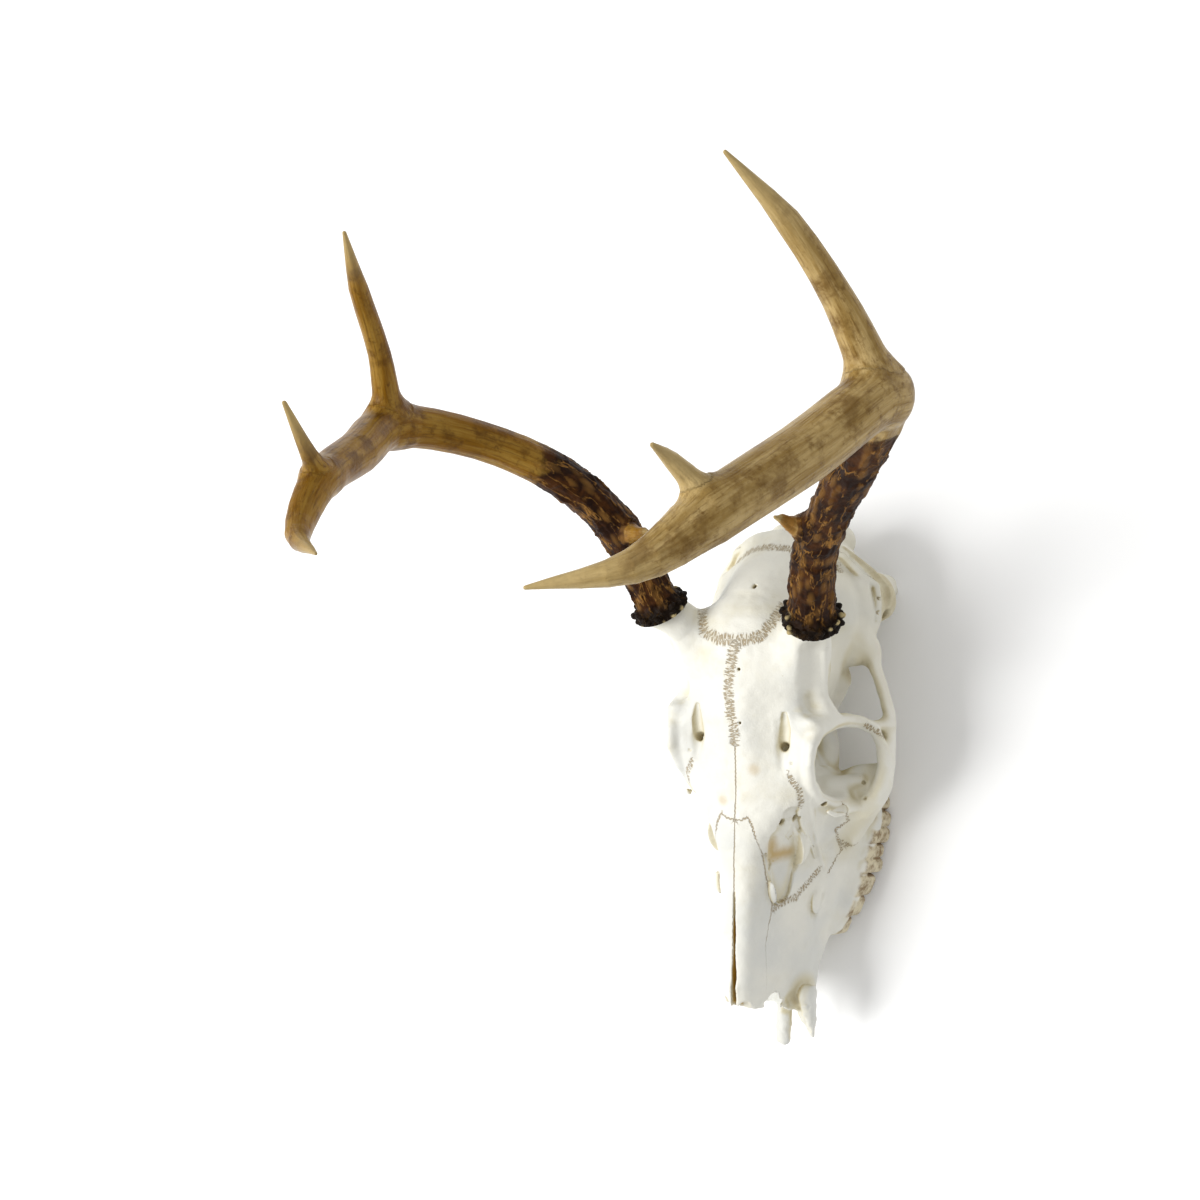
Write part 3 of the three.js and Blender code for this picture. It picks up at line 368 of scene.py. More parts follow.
# small holes in the forehead: x, y, z and radius at the surface, then how deep they go
NUTRIENT_HOLES = [chain([(x, y, z, radius), (x, y, z - depth, radius)]) for x, y, z, radius, depth in (
    (2.3, 107.2, 9, 1, 5), (2.6, 68.7, 19, 0.7, 4), (2.9, 44.6, 13, 0.7, 4))]
SPLINTERS = [
    chain([(17, -83, -58, 5.5), (20.8, -93, -60, 4.2), (24.3, -103.6, -60.5, 1.2)], (1, 1, 0.6)),
    chain([(24, -84, -55, 5), (25.4, -95, -59, 1.6)], (0.5, 1, 1)),
    chain([(21.5, -84, -52.5, 5), (23, -92, -56.5, 4.4), (24.9, -101, -59.6, 2),
           (25.2, -103.4, -60.2, 1.2)], (0.6, 1, 0.8)),
    chain([(9.4, -82, -58, 4), (9.8, -96, -59, 3.8), (10.5, -108, -59, 3.4)]),
    chain([(-0.8, -79, -17, 2.6), (-0.6, -89.6, -20, 1)], (1, 1, 0.6))]
# where the ragged broken edge starts, in mm before the nasion, and how uneven it is
BROKEN_FROM, RAGGED = 83, 0.4
# width of the cut below an antler's foot, and how far it reaches
SEAT_GAP, SEAT_REACH = 0.3, 16


def skull(p):
    half = left_half(p)
    d = braincase(half)
    for blend, shape, width in SYMMETRIC + FINE:
        d = blend(d, shape(half), width)
    for splinter in SPLINTERS:
        d = join(d, splinter(p), 1.5)
    d = carve(d, GAP_BETWEEN_NASALS(p), 0.5)
    for hole in NUTRIENT_HOLES:
        d = carve(d, hole(p), 0.4)
    front = -p[:, 1] > BROKEN_FROM
    d[front] += RAGGED * noise(p[front], 2.4, 21) * ramp(-p[front, 1], BROKEN_FROM, BROKEN_FROM + 5)
    for branches in (LEFT_ANTLER, RIGHT_ANTLER):
        seat, up = antler_foot(branches)
        above = (p - (seat - SEAT_GAP * up)) @ up
        near = row_lengths(p - seat) - SEAT_REACH
        d = np.maximum(d, -np.maximum(-above, near))
    return np.maximum(d, FLOOR - p[:, 2])


# ---- antlers
def unit(v):
    return v / np.linalg.norm(v)


def smooth(points, steps):
    """A centripetal Catmull-Rom curve through points of x, y, z and radius."""
    pts = np.array(points, float)
    xyz = pts[:, :3]
    ends = np.vstack([2 * xyz[0] - xyz[1], xyz, 2 * xyz[-1] - xyz[-2]])
    out = []
    for i in range(len(xyz) - 1):
        p0, p1, p2, p3 = ends[i:i + 4]
        k0, k1, k2 = (np.linalg.norm(b - a) ** 0.5 for a, b in ((p0, p1), (p1, p2), (p2, p3)))
        m1 = (p1 - p0) / k0 - (p2 - p0) / (k0 + k1) + (p2 - p1) / k1
        m2 = (p2 - p1) / k1 - (p3 - p1) / (k1 + k2) + (p3 - p2) / k2
        for j in range(steps):
            t = j / steps
            xyz_t = ((2 * t ** 3 - 3 * t ** 2 + 1) * p1 + (t ** 3 - 2 * t ** 2 + t) * m1 * k1
                     + (-2 * t ** 3 + 3 * t ** 2) * p2 + (t ** 3 - t ** 2) * m2 * k1)
            out.append([*xyz_t, pts[i, 3] + t * (pts[i + 1, 3] - pts[i, 3])])
    out.append(pts[-1].tolist())
    return out


def antler_foot(branches):
    base, after = (np.array(point[:3], float) for point in branches["beam"][:2])
    up = unit(after - base)
    return base - BURR_FOOT * up, up


def antler(branches):
    main = chain(smooth(branches["beam"], 4))
    tines = [(chain(smooth(branches[name], 3)), width)
             for name, width in (("fork_tine", 7), ("short_tine", 5), ("brow_tine", 5))]
    foot, up = antler_foot(branches)
    centre = foot + BURR_FOOT * up

    def field(p):
        d = main(p)
        for tine, width in tines:
            d = join(d, tine(p), width)
        q = p - centre
        along = q @ up
        out = np.sqrt(np.maximum(0, (q * q).sum(axis=1) - along ** 2)) - BURR_RING
        d = join(d, length(out, along) - BURR_TUBE, 2)
        return both(d, -along - BURR_FOOT, 0.8)
    return field


# ---- meshing
def sampled(field, points):
    return np.concatenate([field(part) for part in np.array_split(points, max(1, len(points) // 400000))])


def surface(field, low, high, cell):
    """Surface nets over a dense grid that is worked out only near the surface."""
    low = np.array(low, np.float32)
    coarse = 6
    blocks = np.ceil((np.array(high) - low) / (cell * coarse)).astype(int)
    centres = (np.indices(blocks).reshape(3, -1).T + 0.5) * cell * coarse + low
    rough = sampled(field, centres.astype(np.float32)).reshape(blocks)
    grid = np.repeat(np.repeat(np.repeat(rough, coarse, 0), coarse, 1), coarse, 2).astype(np.float32)
    near = np.argwhere(np.abs(grid) < cell * coarse * 1.5)
    grid[tuple(near.T)] = sampled(field, (near * cell + low).astype(np.float32))

    inside = grid < 0
    n = np.array(grid.shape) - 1
    count = sum(inside[i:n[0] + i, j:n[1] + j, k:n[2] + k].astype(np.int8)
                for i, j, k in np.ndindex(2, 2, 2))
    cells = np.argwhere((count > 0) & (count < 8))
    number = np.full(tuple(n), -1, np.int32)
    number[tuple(cells.T)] = np.arange(len(cells))
    total = np.zeros((len(cells), 3), np.float32)
    crossings = np.zeros(len(cells), np.float32)
    faces = []
    for axis in range(3):
        u, v = [k for k in range(3) if k != axis]
        for du, dv in np.ndindex(2, 2):
            start = cells.copy()
            start[:, u] += du
            start[:, v] += dv
            end = start.copy()
            end[:, axis] += 1
            a, b = grid[tuple(start.T)], grid[tuple(end.T)]
            hit = (a < 0) != (b < 0)
            place = start[hit].astype(np.float32)
            place[:, axis] += a[hit] / (a[hit] - b[hit])
            total[hit] += place
            crossings[hit] += 1
        here, there = [slice(None)] * 3, [slice(None)] * 3
        here[axis], there[axis] = slice(0, -1), slice(1, None)
        edges = np.argwhere(inside[tuple(here)] != inside[tuple(there)])
        edges = edges[(edges[:, u] > 0) & (edges[:, v] > 0) & (edges[:, u] < n[u]) & (edges[:, v] < n[v])]
        corners = []
        for du, dv in ((1, 1), (0, 1), (0, 0), (1, 0)):
            corner = edges.copy()
            corner[:, u] -= du
            corner[:, v] -= dv
            corners.append(number[tuple(corner.T)])
        quads = np.stack(corners, 1)
        outwards = inside[tuple(edges.T)] if axis != 1 else ~inside[tuple(edges.T)]
        quads[~outwards] = quads[~outwards][:, ::-1]
        faces.append(quads)
    points = (total / crossings[:, None] * cell + low).astype(np.float32)
    return points, np.concatenate(faces)


def slopes(field, points, step=0.25):
    here = sampled(field, points)
    rises = []
    for axis in range(3):
        moved = points.copy()
        moved[:, axis] += step
        rises.append((sampled(field, moved) - here) / step)
    return here, np.stack(rises, 1)


def settled(field, points, most):
    """Points moved onto the surface, and the way out of it there."""
    here, rise = slopes(field, points)
    steep = (rise * rise).sum(axis=1, keepdims=True) + 1e-4
    move = -here[:, None] * rise / steep
    far = np.linalg.norm(move, axis=1, keepdims=True)
    points = points + move * np.minimum(1, most / (far + 1e-9))
    return points, rise / np.sqrt(steep)


def face_normals(points, quads):
    normal = np.cross(points[quads[:, 2]] - points[quads[:, 0]], points[quads[:, 3]] - points[quads[:, 1]])
    total = np.zeros((len(points), 3))
    for k in range(3):
        weights = np.repeat(normal[:, k], 4)
        total[:, k] = np.bincount(quads.ravel(), weights, minlength=len(points))
    return total / (np.linalg.norm(total, axis=1, keepdims=True) + 1e-12)


# ---- noise, for the fine relief
def hashed(cells, seed):
    x, y, z = (cells[..., k] for k in range(3))
    n = x * 374761393 + y * 668265263 + z * 2147483647 + seed * 1274126177
    n = (n ^ (n >> 13)) * 1274126177
    n = n ^ (n >> 16)
    return (n & 0xFFFF) / 65535.0


def noise(points, size, seed):
    """Smooth noise from -1 to 1 with lumps of about that size."""
    q = points / size
    cell = np.floor(q).astype(np.int64)
    f = q - cell
    f = f * f * (3 - 2 * f)
    total = 0
    for corner in np.ndindex(2, 2, 2):
        a, b, c = (f[:, k] if step else 1 - f[:, k] for k, step in enumerate(corner))
        total = total + a * b * c * hashed(cell + np.array(corner), seed)
    return total * 2 - 1


def beads(points, size, seed):
    """Round bumps from 0 to 1, scattered about size apart, and a lot from 0 to 1 for each."""
    q = points / size
    cell = np.floor(q).astype(np.int64)
    nearest = np.full(len(points), 9.0)
    lot = np.zeros(len(points))
    for corner in np.ndindex(3, 3, 3):
        other = cell + np.array(corner) - 1
        centre = other + np.stack([hashed(other, seed + s) for s in range(3)], 1)
        far = row_lengths(q - centre)
        lot = np.where(far < nearest, hashed(other, seed + 5), lot)
        nearest = np.minimum(nearest, far)
    return np.clip(1 - (nearest / 0.62) ** 2, 0, 1), lot


def ramp(value, low, high):
    t = np.clip((value - low) / (high - low), 0, 1)
    return t * t * (3 - 2 * t)


# ---- sutures
# Loops on the bone as x, y, z; then the reach of the zigzag to each side. The left side's are mirrored.
MIDLINE_SUTURES = [
    ([(0.5, 81.5, 19.8), (-1, 72, 18.3), (-2.5, 60, 15.5), (-2, 50, 13), (0, 42, 11), (0.4, 34, 8.7)], 1.7),
    ([(0.4, 34, 8.7), (0.6, 18, 4.6), (0.4, 0, 1), (0, -19, -3.4), (0, -38, -7.4), (0, -92, -19)], 0.12),
    ([(-22, 99, 9), (-20.5, 93, 12.5), (-16, 84, 17), (-8, 81.5, 18.8), (0.6, 81.6, 19.8), (8, 82.5, 19),
      (12, 84, 18.2), (15.3, 90, 15), (17, 97, 10), (18, 104, 5)], 1.9),
    ([(-28, 122, -33), (-20, 127, -24), (-10, 129.5, -18), (0, 129.5, -16.5), (10, 128.5, -17.8),
      (20, 127, -24), (28, 122, -33)], 2.0)]
SIDE_SUTURES = [
    ([(0.4, 0, 1), (4, 0.5, 1), (6.7, 2.2, 1), (8.5, -1.5, -0.3), (9.8, -6, -1.8), (11.4, -16, -9.5)], 0.3),
    ([(11.4, -16, -9.5), (12.1, -27, -15), (13.2, -39, -22), (12, -58, -23), (12.8, -72, -27.5),
      (12.6, -82, -30)], 0.25),
    ([(13.2, -41, -23), (15.9, -38, -28), (19.2, -35.4, -34.7), (22.9, -28.2, -40.4),
      (26.4, -21.4, -45.6)], 1.2),
    ([(24, 25, 3), (25.6, 21.5, 0.4), (28.6, 17.4, -3.7), (28, 12, -8), (26.9, 8.7, -10.4)], 1.0),
    ([(42, 14, -30), (39.5, 11.2, -32.3), (38.2, 3.3, -45.5), (33.6, -2, -42.7), (33.1, -7, -48.3),
      (33.3, -12.3, -54.8), (28.5, -23.9, -51.4)], 0.5),
    ([(33.6, -8, -51), (36, -10, -57), (40, -9, -61)], 1.0),
    ([(48, 50, -27), (50.3, 48.2, -29), (53.1, 46.8, -32.5), (54, 44, -36)], 0.9),
    ([(24, 131.4, -31.5), (28.2, 129.3, -34.3), (31.6, 125.6, -38.3), (35.1, 121.7, -41),
      (38.4, 120.4, -44.8), (41.1, 119.2, -49.3), (42.1, 113.8, -49), (42.6, 108.4, -49),
      (42.3, 102.5, -48.4)], 0.45)]
# each suture's zigzag starts this many mm further along than the last one's, so that they differ
SUTURE_SPACING = 157.0


# ---- pieces by node
def inside_outline(u, v, outline):
    odd = np.zeros(len(u), bool)
    for (u0, v0), (u1, v1) in zip(outline, outline[1:] + outline[:1]):
        crosses = (v0 > v) != (v1 > v)
        odd ^= crosses & (u < (u1 - u0) * (v - v0) / (v1 - v0 + 1e-12) + u0)
    return odd


# Outlines from the side as y, z, and that of the parietal bone from above as x, y
NASAL = [(-98, -31), (-83, -28), (-58, -24), (-39, -21.5), (-27, -15), (-16, -9.5), (-5, -2), (1, 8),
         (-98, 8)]
FRONTAL = [(-15, -9), (9, -8), (18, -13), (28, -19), (40, -25), (46, -33), (57, -33), (60, -26), (72, -20),
           (84, -8), (86, 6), (92, 13), (110, 13), (110, 40), (-15, 40)]
OCCIPITAL = [(113, -100), (160, -100), (160, 20), (128, 20), (126.5, -16), (122, -38), (113, -58)]
TEMPORAL = [(58, -64), (74, -60), (84, -70), (84, -100), (130, -100), (130, 20), (84, -12), (60, -33),
            (58, -33)]
JUGAL = [(-4, -60), (10, -65), (30, -66), (57.5, -66), (57.5, -32), (46, -32), (14, -38), (8, -43),
         (-4, -52)]
LACRIMAL = [(-7, -30), (2, -44), (12, -44), (27, -38), (27, -10), (9, -7), (-7, -7)]
MAXILLA = [(-125, -100), (26, -100), (26, 20), (-125, 20)]
HALF_PARIETAL = [(8, 82.5), (16, 86.5), (22, 95), (24.5, 103), (42, 106), (40, 119), (22, 127)]
PARIETAL = HALF_PARIETAL + [(-x, y) for x, y in reversed(HALF_PARIETAL)]


def bone_of(points):
    """The bone at each point: the first of these that has it, or else the sphenoid."""
    x, y, z = points.T
    names = np.full(len(points), "sphenoid", dtype="<U16")
    left = np.zeros(len(points), bool)

    def take(name, where):
        fresh = where & ~left
        names[fresh] = name
        left[fresh] = True

    def take_pair(name, outline, inner=0):
        within = inside_outline(y, z, outline)
        take(f"{name}_left", within & (x > inner))
        take(f"{name}_right", within & (x < -inner))

    take_pair("nasal", NASAL)
    take("parietal", inside_outline(x, y, PARIETAL) & (z > -35))
    take_pair("frontal", FRONTAL)
    take("occipital", inside_outline(y, z, OCCIPITAL))
    for name, outline, inner in (("jugal", JUGAL, 37), ("temporal", TEMPORAL, 17),
                                 ("lacrimal", LACRIMAL, 13), ("maxilla", MAXILLA, 0)):
        take_pair(name, outline, inner)
    return names


# ---- Blender objects
def add_object(name, data):
    thing = bpy.data.objects.new(name, data)
    bpy.context.scene.collection.objects.link(thing)
    return thing


def mesh_object(name, points, quads, normals, values):
    """One object of some of the quads, with values for its points; points are in mm from the nasion."""
    used, where = np.unique(quads, return_inverse=True)
    quads = where.reshape(quads.shape)
    mesh = bpy.data.meshes.new(name)
    mesh.vertices.add(len(used))
    mesh.vertices.foreach_set("co", ((points[used] + NASION) * MM).astype(np.float32).ravel())
    mesh.loops.add(quads.size)
    mesh.loops.foreach_set("vertex_index", quads.astype(np.int32).ravel())
    mesh.polygons.add(len(quads))
    mesh.polygons.foreach_set("loop_start", np.arange(0, quads.size, 4, dtype=np.int32))
    mesh.update(calc_edges=True)
    mesh.validate()
    mesh.normals_split_custom_set_from_vertices(normals[used].astype(np.float32))
    for label, value in values.items():
        kind, key = ("FLOAT", "value") if value.ndim == 1 else ("FLOAT_VECTOR", "vector")
        layer = mesh.attributes.new(label, kind, "POINT")
        layer.data.foreach_set(key, value[used].astype(np.float32).ravel())
    return add_object(name, mesh)


def add_pieces(nodes, suffix, material, points, quads, normals, values):
    """One piece for each CAD node, of the quads that have its name."""
    for node in sorted(set(nodes.tolist())):
        piece = mesh_object(f"{node}_{suffix}", points, quads[nodes == node], normals, values)
        piece.data.materials.append(material)
        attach(piece, "root")
        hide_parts(node)


# ---- materials
class Value:
    """What a node's output gives. Sums, differences, products and quotients of numbers make Math nodes."""

    def __init__(self, tree, socket):
        self.tree, self.socket = tree, socket

    def math(self, operation, *others):
        return made(self.tree, "Math", 0, enumerate((self, *others)), operation=operation)

    __add__ = partialmethod(math, "ADD")
    __sub__ = partialmethod(math, "SUBTRACT")
    __mul__ = partialmethod(math, "MULTIPLY")
    __truediv__ = partialmethod(math, "DIVIDE")
    __abs__ = partialmethod(math, "ABSOLUTE")

    def spread(self, low, high, to_low=0, to_high=1):
        """Goes smoothly from to_low to to_high as the value goes from low to high."""
        inputs = (("Value", self), ("From Min", low), ("From Max", high), ("To Min", to_low),
                  ("To Max", to_high))
        return made(self.tree, "MapRange", "Result", inputs, interpolation_type="SMOOTHSTEP")


def feed(socket, value):
    """Links the socket to a Value, or sets it to a number, a list, or a colour, which is a tuple."""
    if isinstance(value, Value):
        value.tree.links.new(value.socket, socket)
    else:
        socket.default_value = (*value, 1) if isinstance(value, tuple) else value


def made(tree, kind, output, inputs=(), **settings):
    """What a new node gives, once its settings are made and its inputs are fed."""
    node = tree.nodes.new("ShaderNode" + kind)
    for name, value in settings.items():
        setattr(node, name, value)
    for key, value in inputs:
        feed(node.inputs[key], value)
    return Value(tree, node.outputs[output])


def node_material(name):
    """A material, its tree, its shader's sockets and the place on the object."""
    material = bpy.data.materials.new(name)
    material.use_nodes = True
    tree = material.node_tree
    return material, tree, tree.nodes["Principled BSDF"].inputs, made(tree, "TexCoord", "Object")


def attribute(tree, name, output="Fac"):
    return made(tree, "Attribute", output, attribute_name=name)


def layered(colour, *layers):
    """The colour under layers of other colours, each given as an amount and a colour."""
    for amount, tone in layers:
        colour = made(amount.tree, "Mix", 2, ((0, amount), (6, colour), (7, tone)), data_type="RGBA")
    return colour


def noise_node(vector, scale, detail, rough, stretch=None):
    if stretch:
        vector = made(vector.tree, "Mapping", "Vector", (("Scale", stretch), ("Vector", vector)))
    return made(vector.tree, "TexNoise", "Fac", (("Scale", scale), ("Detail", detail), ("Roughness", rough),
                                                 ("Vector", vector)))


def bump(shader, height, strength, distance):
    inputs = ("Strength", strength), ("Distance", distance), ("Height", height)
    feed(shader["Normal"], made(height.tree, "Bump", "Normal", inputs))


BONE_WHITE, BONE_CREAM, BONE_TAN = (0.73, 0.715, 0.64), (0.61, 0.56, 0.4), (0.38, 0.29, 0.12)
BONE_GREY = (0.6, 0.605, 0.575)
ENAMEL, TARTAR_AND_SHADE = (0.63, 0.56, 0.39), (0.21, 0.13, 0.05)
SUTURE, OCHRE = (0.3, 0.22, 0.11), (0.43, 0.26, 0.025)


def suture_marks(tree, place):
    """The nearest suture's line, which swings to and fro across its course, and the band that it fills."""
    parts = tree.nodes.new("ShaderNodeSeparateXYZ")
    feed(parts.inputs[0], attribute(tree, "suture", "Vector"))
    along, across, reach = (Value(tree, output) for output in parts.outputs)
    strip = made(tree, "CombineXYZ", 0, ((0, along), (1, across * 0.25)))
    swing = noise_node(strip, 0.35, 2, 0.6)
    pace = noise_node(strip, 0.5, 3, 0.6)
    phase = along * 3.1 + pace * 22
    width = reach * (swing * 1.5 + 0.3)
    off = across - width * phase.math("SINE")
    # the way off the line is divided by its slope, so that it is equally thick in its steep parts
    steep = width * 3.4 * phase.math("COSINE")
    steep = steep.math("MULTIPLY_ADD", steep, 1).math("SQRT")
    ragged = noise_node(place, 700, 3, 0.6) - 0.5
    off = abs(off) / steep + ragged * 0.35
    seam = attribute(tree, "seam")
    line = off.spread(0.12, 0.44, 1, 0) * seam
    band = (abs(across) - reach).spread(-0.4, 0.8, 1, 0) * reach.spread(0.7, 1.6)
    return line, band * 0.2 * seam


def bone_material():
    material, tree, shader, place = node_material("bone")
    feed(shader["Roughness"], 0.58)
    shade_and_cream = attribute(tree, "shade_and_cream")
    patches = noise_node(place, 38, 5, 0.6)
    cloud = noise_node(place, 22, 3, 0.5)
    grime = noise_node(place, 160, 6, 0.7)
    specks = noise_node(place, 420, 4, 0.7)
    line, band = suture_marks(tree, place)
    # tartar brown on the enamel at random, and painted shade where the teeth are shut in between each other
    enamel = layered(ENAMEL, (grime.spread(0.4, 0.66), TARTAR_AND_SHADE),
                     (shade_and_cream.spread(0.28, 0.55, 0, 0.85), TARTAR_AND_SHADE))
    feed(shader["Base Color"], layered(
        BONE_WHITE, (patches.spread(0.48, 0.8, 0, 0.7), BONE_CREAM),
        (cloud.spread(0.5, 0.68, 0, 0.7), BONE_GREY),
        # painted shade: cream, then tan broken up by grime, in hollows, and on the back and sides, which
        # are also creamier
        (shade_and_cream.spread(0.12, 0.62, 0, 0.95), BONE_CREAM),
        (shade_and_cream.spread(0.42, 0.95) * grime.spread(0.3, 0.66) * 0.65, BONE_TAN),
        (specks.spread(0.66, 0.78, 0, 0.35), BONE_TAN), (attribute(tree, "tooth"), enamel),
        (band, BONE_TAN), (line * 0.85, SUTURE),
        (attribute(tree, "stain") * grime.spread(0.1, 0.5), OCHRE)))
    pores = noise_node(place, 1400, 3, 0.6)
    grain = noise_node(place, 260, 5, 0.65)
    bump(shader, pores * 0.3 + grain - line * 1.8 - band, 0.6, 0.0005)
    return material


# pale, middle and dark tone of the smooth length
ANTLER_TONES = {"left": ((0.47, 0.335, 0.14), (0.285, 0.18, 0.052), (0.12, 0.058, 0.008)),
                "right": ((0.3, 0.17, 0.028), (0.195, 0.088, 0.004), (0.078, 0.028, 0.002))}
ANTLER_BASE, ANTLER_RUST, ANTLER_VEIN = (0.014, 0.0035, 0.0003), (0.085, 0.027, 0.002), (0.27, 0.13, 0.028)
BURR_BLACK, PEARL, IVORY = (0.005, 0.0025, 0.0005), (0.42, 0.33, 0.16), (0.44, 0.33, 0.15)
AMBER = (0.27, 0.125, 0.022)


def antler_material(side):
    material, tree, shader, place = node_material(f"antler_{side}")
    feed(shader["Specular IOR Level"], 0.1)
    grain = attribute(tree, "grain", "Vector")
    mottle = noise_node(place, 95, 5, 0.62)
    blots = noise_node(place, 260, 5, 0.65)
    streaks = noise_node(grain, 0.3, 5, 0.62, [1, 1, 0.1])
    fine = noise_node(grain, 1, 4, 0.6, [1, 1, 0.07])
    pale, middle, dark = ANTLER_TONES[side]
    # the dark, rough lower length, with paler veins that wander along it, their own tone and a painted
    # highlight
    rough = (attribute(tree, "base") + mottle * 0.9).spread(0.75, 1.05)
    feed(shader["Roughness"], rough.spread(0, 1, 0.32, 0.55))
    wander = noise_node(grain, 0.18, 3, 0.55, [1, 1, 0.28])
    vein = abs(wander - 0.5).spread(0, 0.04, 1, 0) * blots.spread(0.38, 0.56)
    lit = vein * rough * 0.9
    feed(shader["Base Color"], layered(
        pale, (streaks.spread(0.34, 0.64), middle), (mottle.spread(0.46, 0.66, 0, 0.7), dark),
        (fine.spread(0.5, 0.7, 0, 0.55), dark), (blots.spread(0.55, 0.7, 0, 0.6), dark),
        (rough, ANTLER_BASE), (mottle.spread(0.44, 0.62, 0, 0.5) * rough, ANTLER_RUST),
        (lit, ANTLER_VEIN), (attribute(tree, "bead") * 0.5, ANTLER_VEIN),
        (attribute(tree, "burr"), BURR_BLACK), (attribute(tree, "pearl"), PEARL),
        (attribute(tree, "amber"), AMBER), (attribute(tree, "pale"), IVORY)))
    bump(shader, streaks * 1.1 + fine * 0.5 + lit * 1.2 + blots * 0.5, 0.7, 0.0008)
    return material


# ---- build the skull
def segments(points, curve):
    """For each straight part of a curve: its ends, heading, length and the way before it, then for each
    point how far along it is, from 0 to 1, and the way off it."""
    run = 0.0
    for a, b in zip(curve[:-1], curve[1:]):
        step = b[:3] - a[:3]
        size = float(np.linalg.norm(step))
        t = np.clip(((points - a[:3]) @ step) / size ** 2, 0, 1)
        yield a, b, step / size, size, run, t, points - (a[:3] + t[:, None] * step)
        run += size


def polyline_place(points, normals, loop):
    """For a loop of points on the surface: how far it is, the way along it, and signed across it."""
    best, along, across = (np.full(len(points), start, np.float32) for start in (1e9, 0, 50))
    for _, _, heading, size, run, t, away in segments(points, np.array(loop, np.float32)):
        far = row_lengths(away)
        side = np.einsum("ij,ij->i", away, np.cross(heading, normals))
        closer = far < best
        best[closer] = far[closer]
        along[closer] = run + t[closer] * size
        across[closer] = np.where(side[closer] < 0, -far[closer], far[closer])
    return best, along, across


def suture_values(points, normals):
    value = np.tile(np.array([0, 50, 0], np.float32), (len(points), 1))
    seam = np.zeros(len(points), np.float32)
    nearest = np.full(len(points), 8.0, np.float32)
    offset = 0.0
    loops = list(MIDLINE_SUTURES)
    for loop, reach in SIDE_SUTURES:
        loops += [(loop, reach), ([(-x, y, z) for x, y, z in loop], reach)]
    for loop, reach in loops:
        low, high = np.min(loop, axis=0) - 9, np.max(loop, axis=0) + 9
        close = np.flatnonzero(((points > low) & (points < high)).all(axis=1))
        best, along, across = polyline_place(points[close], normals[close], loop)
        inner = (along > 0) & (along < along.max())
        fits = (best < nearest[close]) & (inner | (best < reach + 0.4))
        nearest[close[fits]] = best[fits]
        value[close[fits]] = np.stack([along[fits] + offset, across[fits], np.full(fits.sum(), reach)], 1)
        seam[close[fits]] = ramp(-best[fits], -reach - 2.2, -reach - 1.2) * np.where(inner[fits], 1, 0.5)
        offset += SUTURE_SPACING
    return value, seam


SKULL_BOX = (-66, -118, -96), (66, 156, 40)
BEHIND = chain([(30, 133, -42, 4), (40, 124, -52, 5), (46, 115, -58, 6), (46, 104, -60, 5)])
STAINED = chain([(12.8, -9, -12.5, 2.4), (13.6, -15, -16.5, 2.8), (17.2, -13.5, -25, 2.4)])
INSIDE_GAP = chain([(0, -48, -13, 1.5), (0, -95, -21, 3.2)], (1, 1, 2))
SPOTS = [((-6, 8, 3), 2.2), ((9.5, 24, 6), 2.6), ((18, 21, 5), 1.8)]


def hollowness(points, out):
    """From 0 to 1, how much the bone around shuts a point in, as seen from 5 and 12 mm off the surface."""
    near, wide = (np.clip(1 - sampled(skull, (points + off * out).astype(np.float32)) / free, 0, 1)
                  for off, free in ((5, 4.6), (12, 10.5)))
    return 0.5 * near + 0.5 * wide


def cream_and_side_shade(points):
    """The back of the skull and the chewing muscles' hollows are creamier: their own cream and painted
    shade.
    """
    x, y, z = points.T
    return np.maximum.reduce([
        0.34 * ramp(y, 110, 128) * ramp(-z, 14, 34), 0.25 * ramp(y, 84, 96),
        0.74 * ramp(-sampled(BEHIND, left_half(points)), -4, 0), 0.3 * ramp(-z, 4, 26) * ramp(y, 46, 62)])


def stains(points):
    """Ochre in the opening before the eye, inside the gap between the nasal bones, and in a few spots."""
    in_gap = ramp(-sampled(INSIDE_GAP, points), -1.2, 0.2) * ramp(-sampled(face, points), 0.5, 1.5)
    stain = np.maximum(0.8 * ramp(-sampled(STAINED, points), -3.5, 3), 0.95 * in_gap)
    for spot, size in SPOTS:
        near = -row_lengths(points - np.array(spot))
        stain = np.maximum(stain, 0.35 * ramp(near, -size * 1.6, -size * 0.5))
    return stain


def build_skull():
    points, quads = surface(skull, *SKULL_BOX, SKULL_CELL)
    points, out = settled(skull, points, SKULL_CELL)
    # painted shade for the bone's colour: how far the bone around shuts a point in, with the cream of the
    # back and the sides
    shade_and_cream = np.maximum(hollowness(points, out), cream_and_side_shade(points))
    tooth = ramp(-sampled(teeth, left_half(points)), -0.9, -0.3)
    tooth *= ramp(-points[:, 2], 0.5 - GUM_LINE, 3 - GUM_LINE)
    relief = 0.16 * noise(points, 3.1, 1) + 0.28 * noise(points, 9, 2)
    points = points + out * (relief * (1 - tooth))[:, None]
    points[:, 2] = np.maximum(points[:, 2], FLOOR)
    normals = face_normals(points, quads)
    suture, seam = suture_values(points, normals)
    values = {"shade_and_cream": shade_and_cream, "tooth": tooth, "stain": stains(points), "suture": suture, "seam": seam}
    bones = bone_of(points[quads].mean(axis=1))
    add_pieces(bones, "bone", bone_material(), points, quads, normals, values)


# ---- build the antlers
# side, branches, box, length of the dark base, way from a tip where it turns pale, amber of the brow tine
ANTLERS = [("left", LEFT_ANTLER, ((20, 66, 8), (122, 218, 254)), 140, 44, 0.8),
           ("right", RIGHT_ANTLER, ((-122, 66, 8), (-20, 218, 254)), 96, 26, 0.3)]
# the way along the grain goes on from these numbers on each branch
BRANCH_STARTS = {"beam": 0, "fork_tine": 165, "short_tine": 260, "brow_tine": 40}


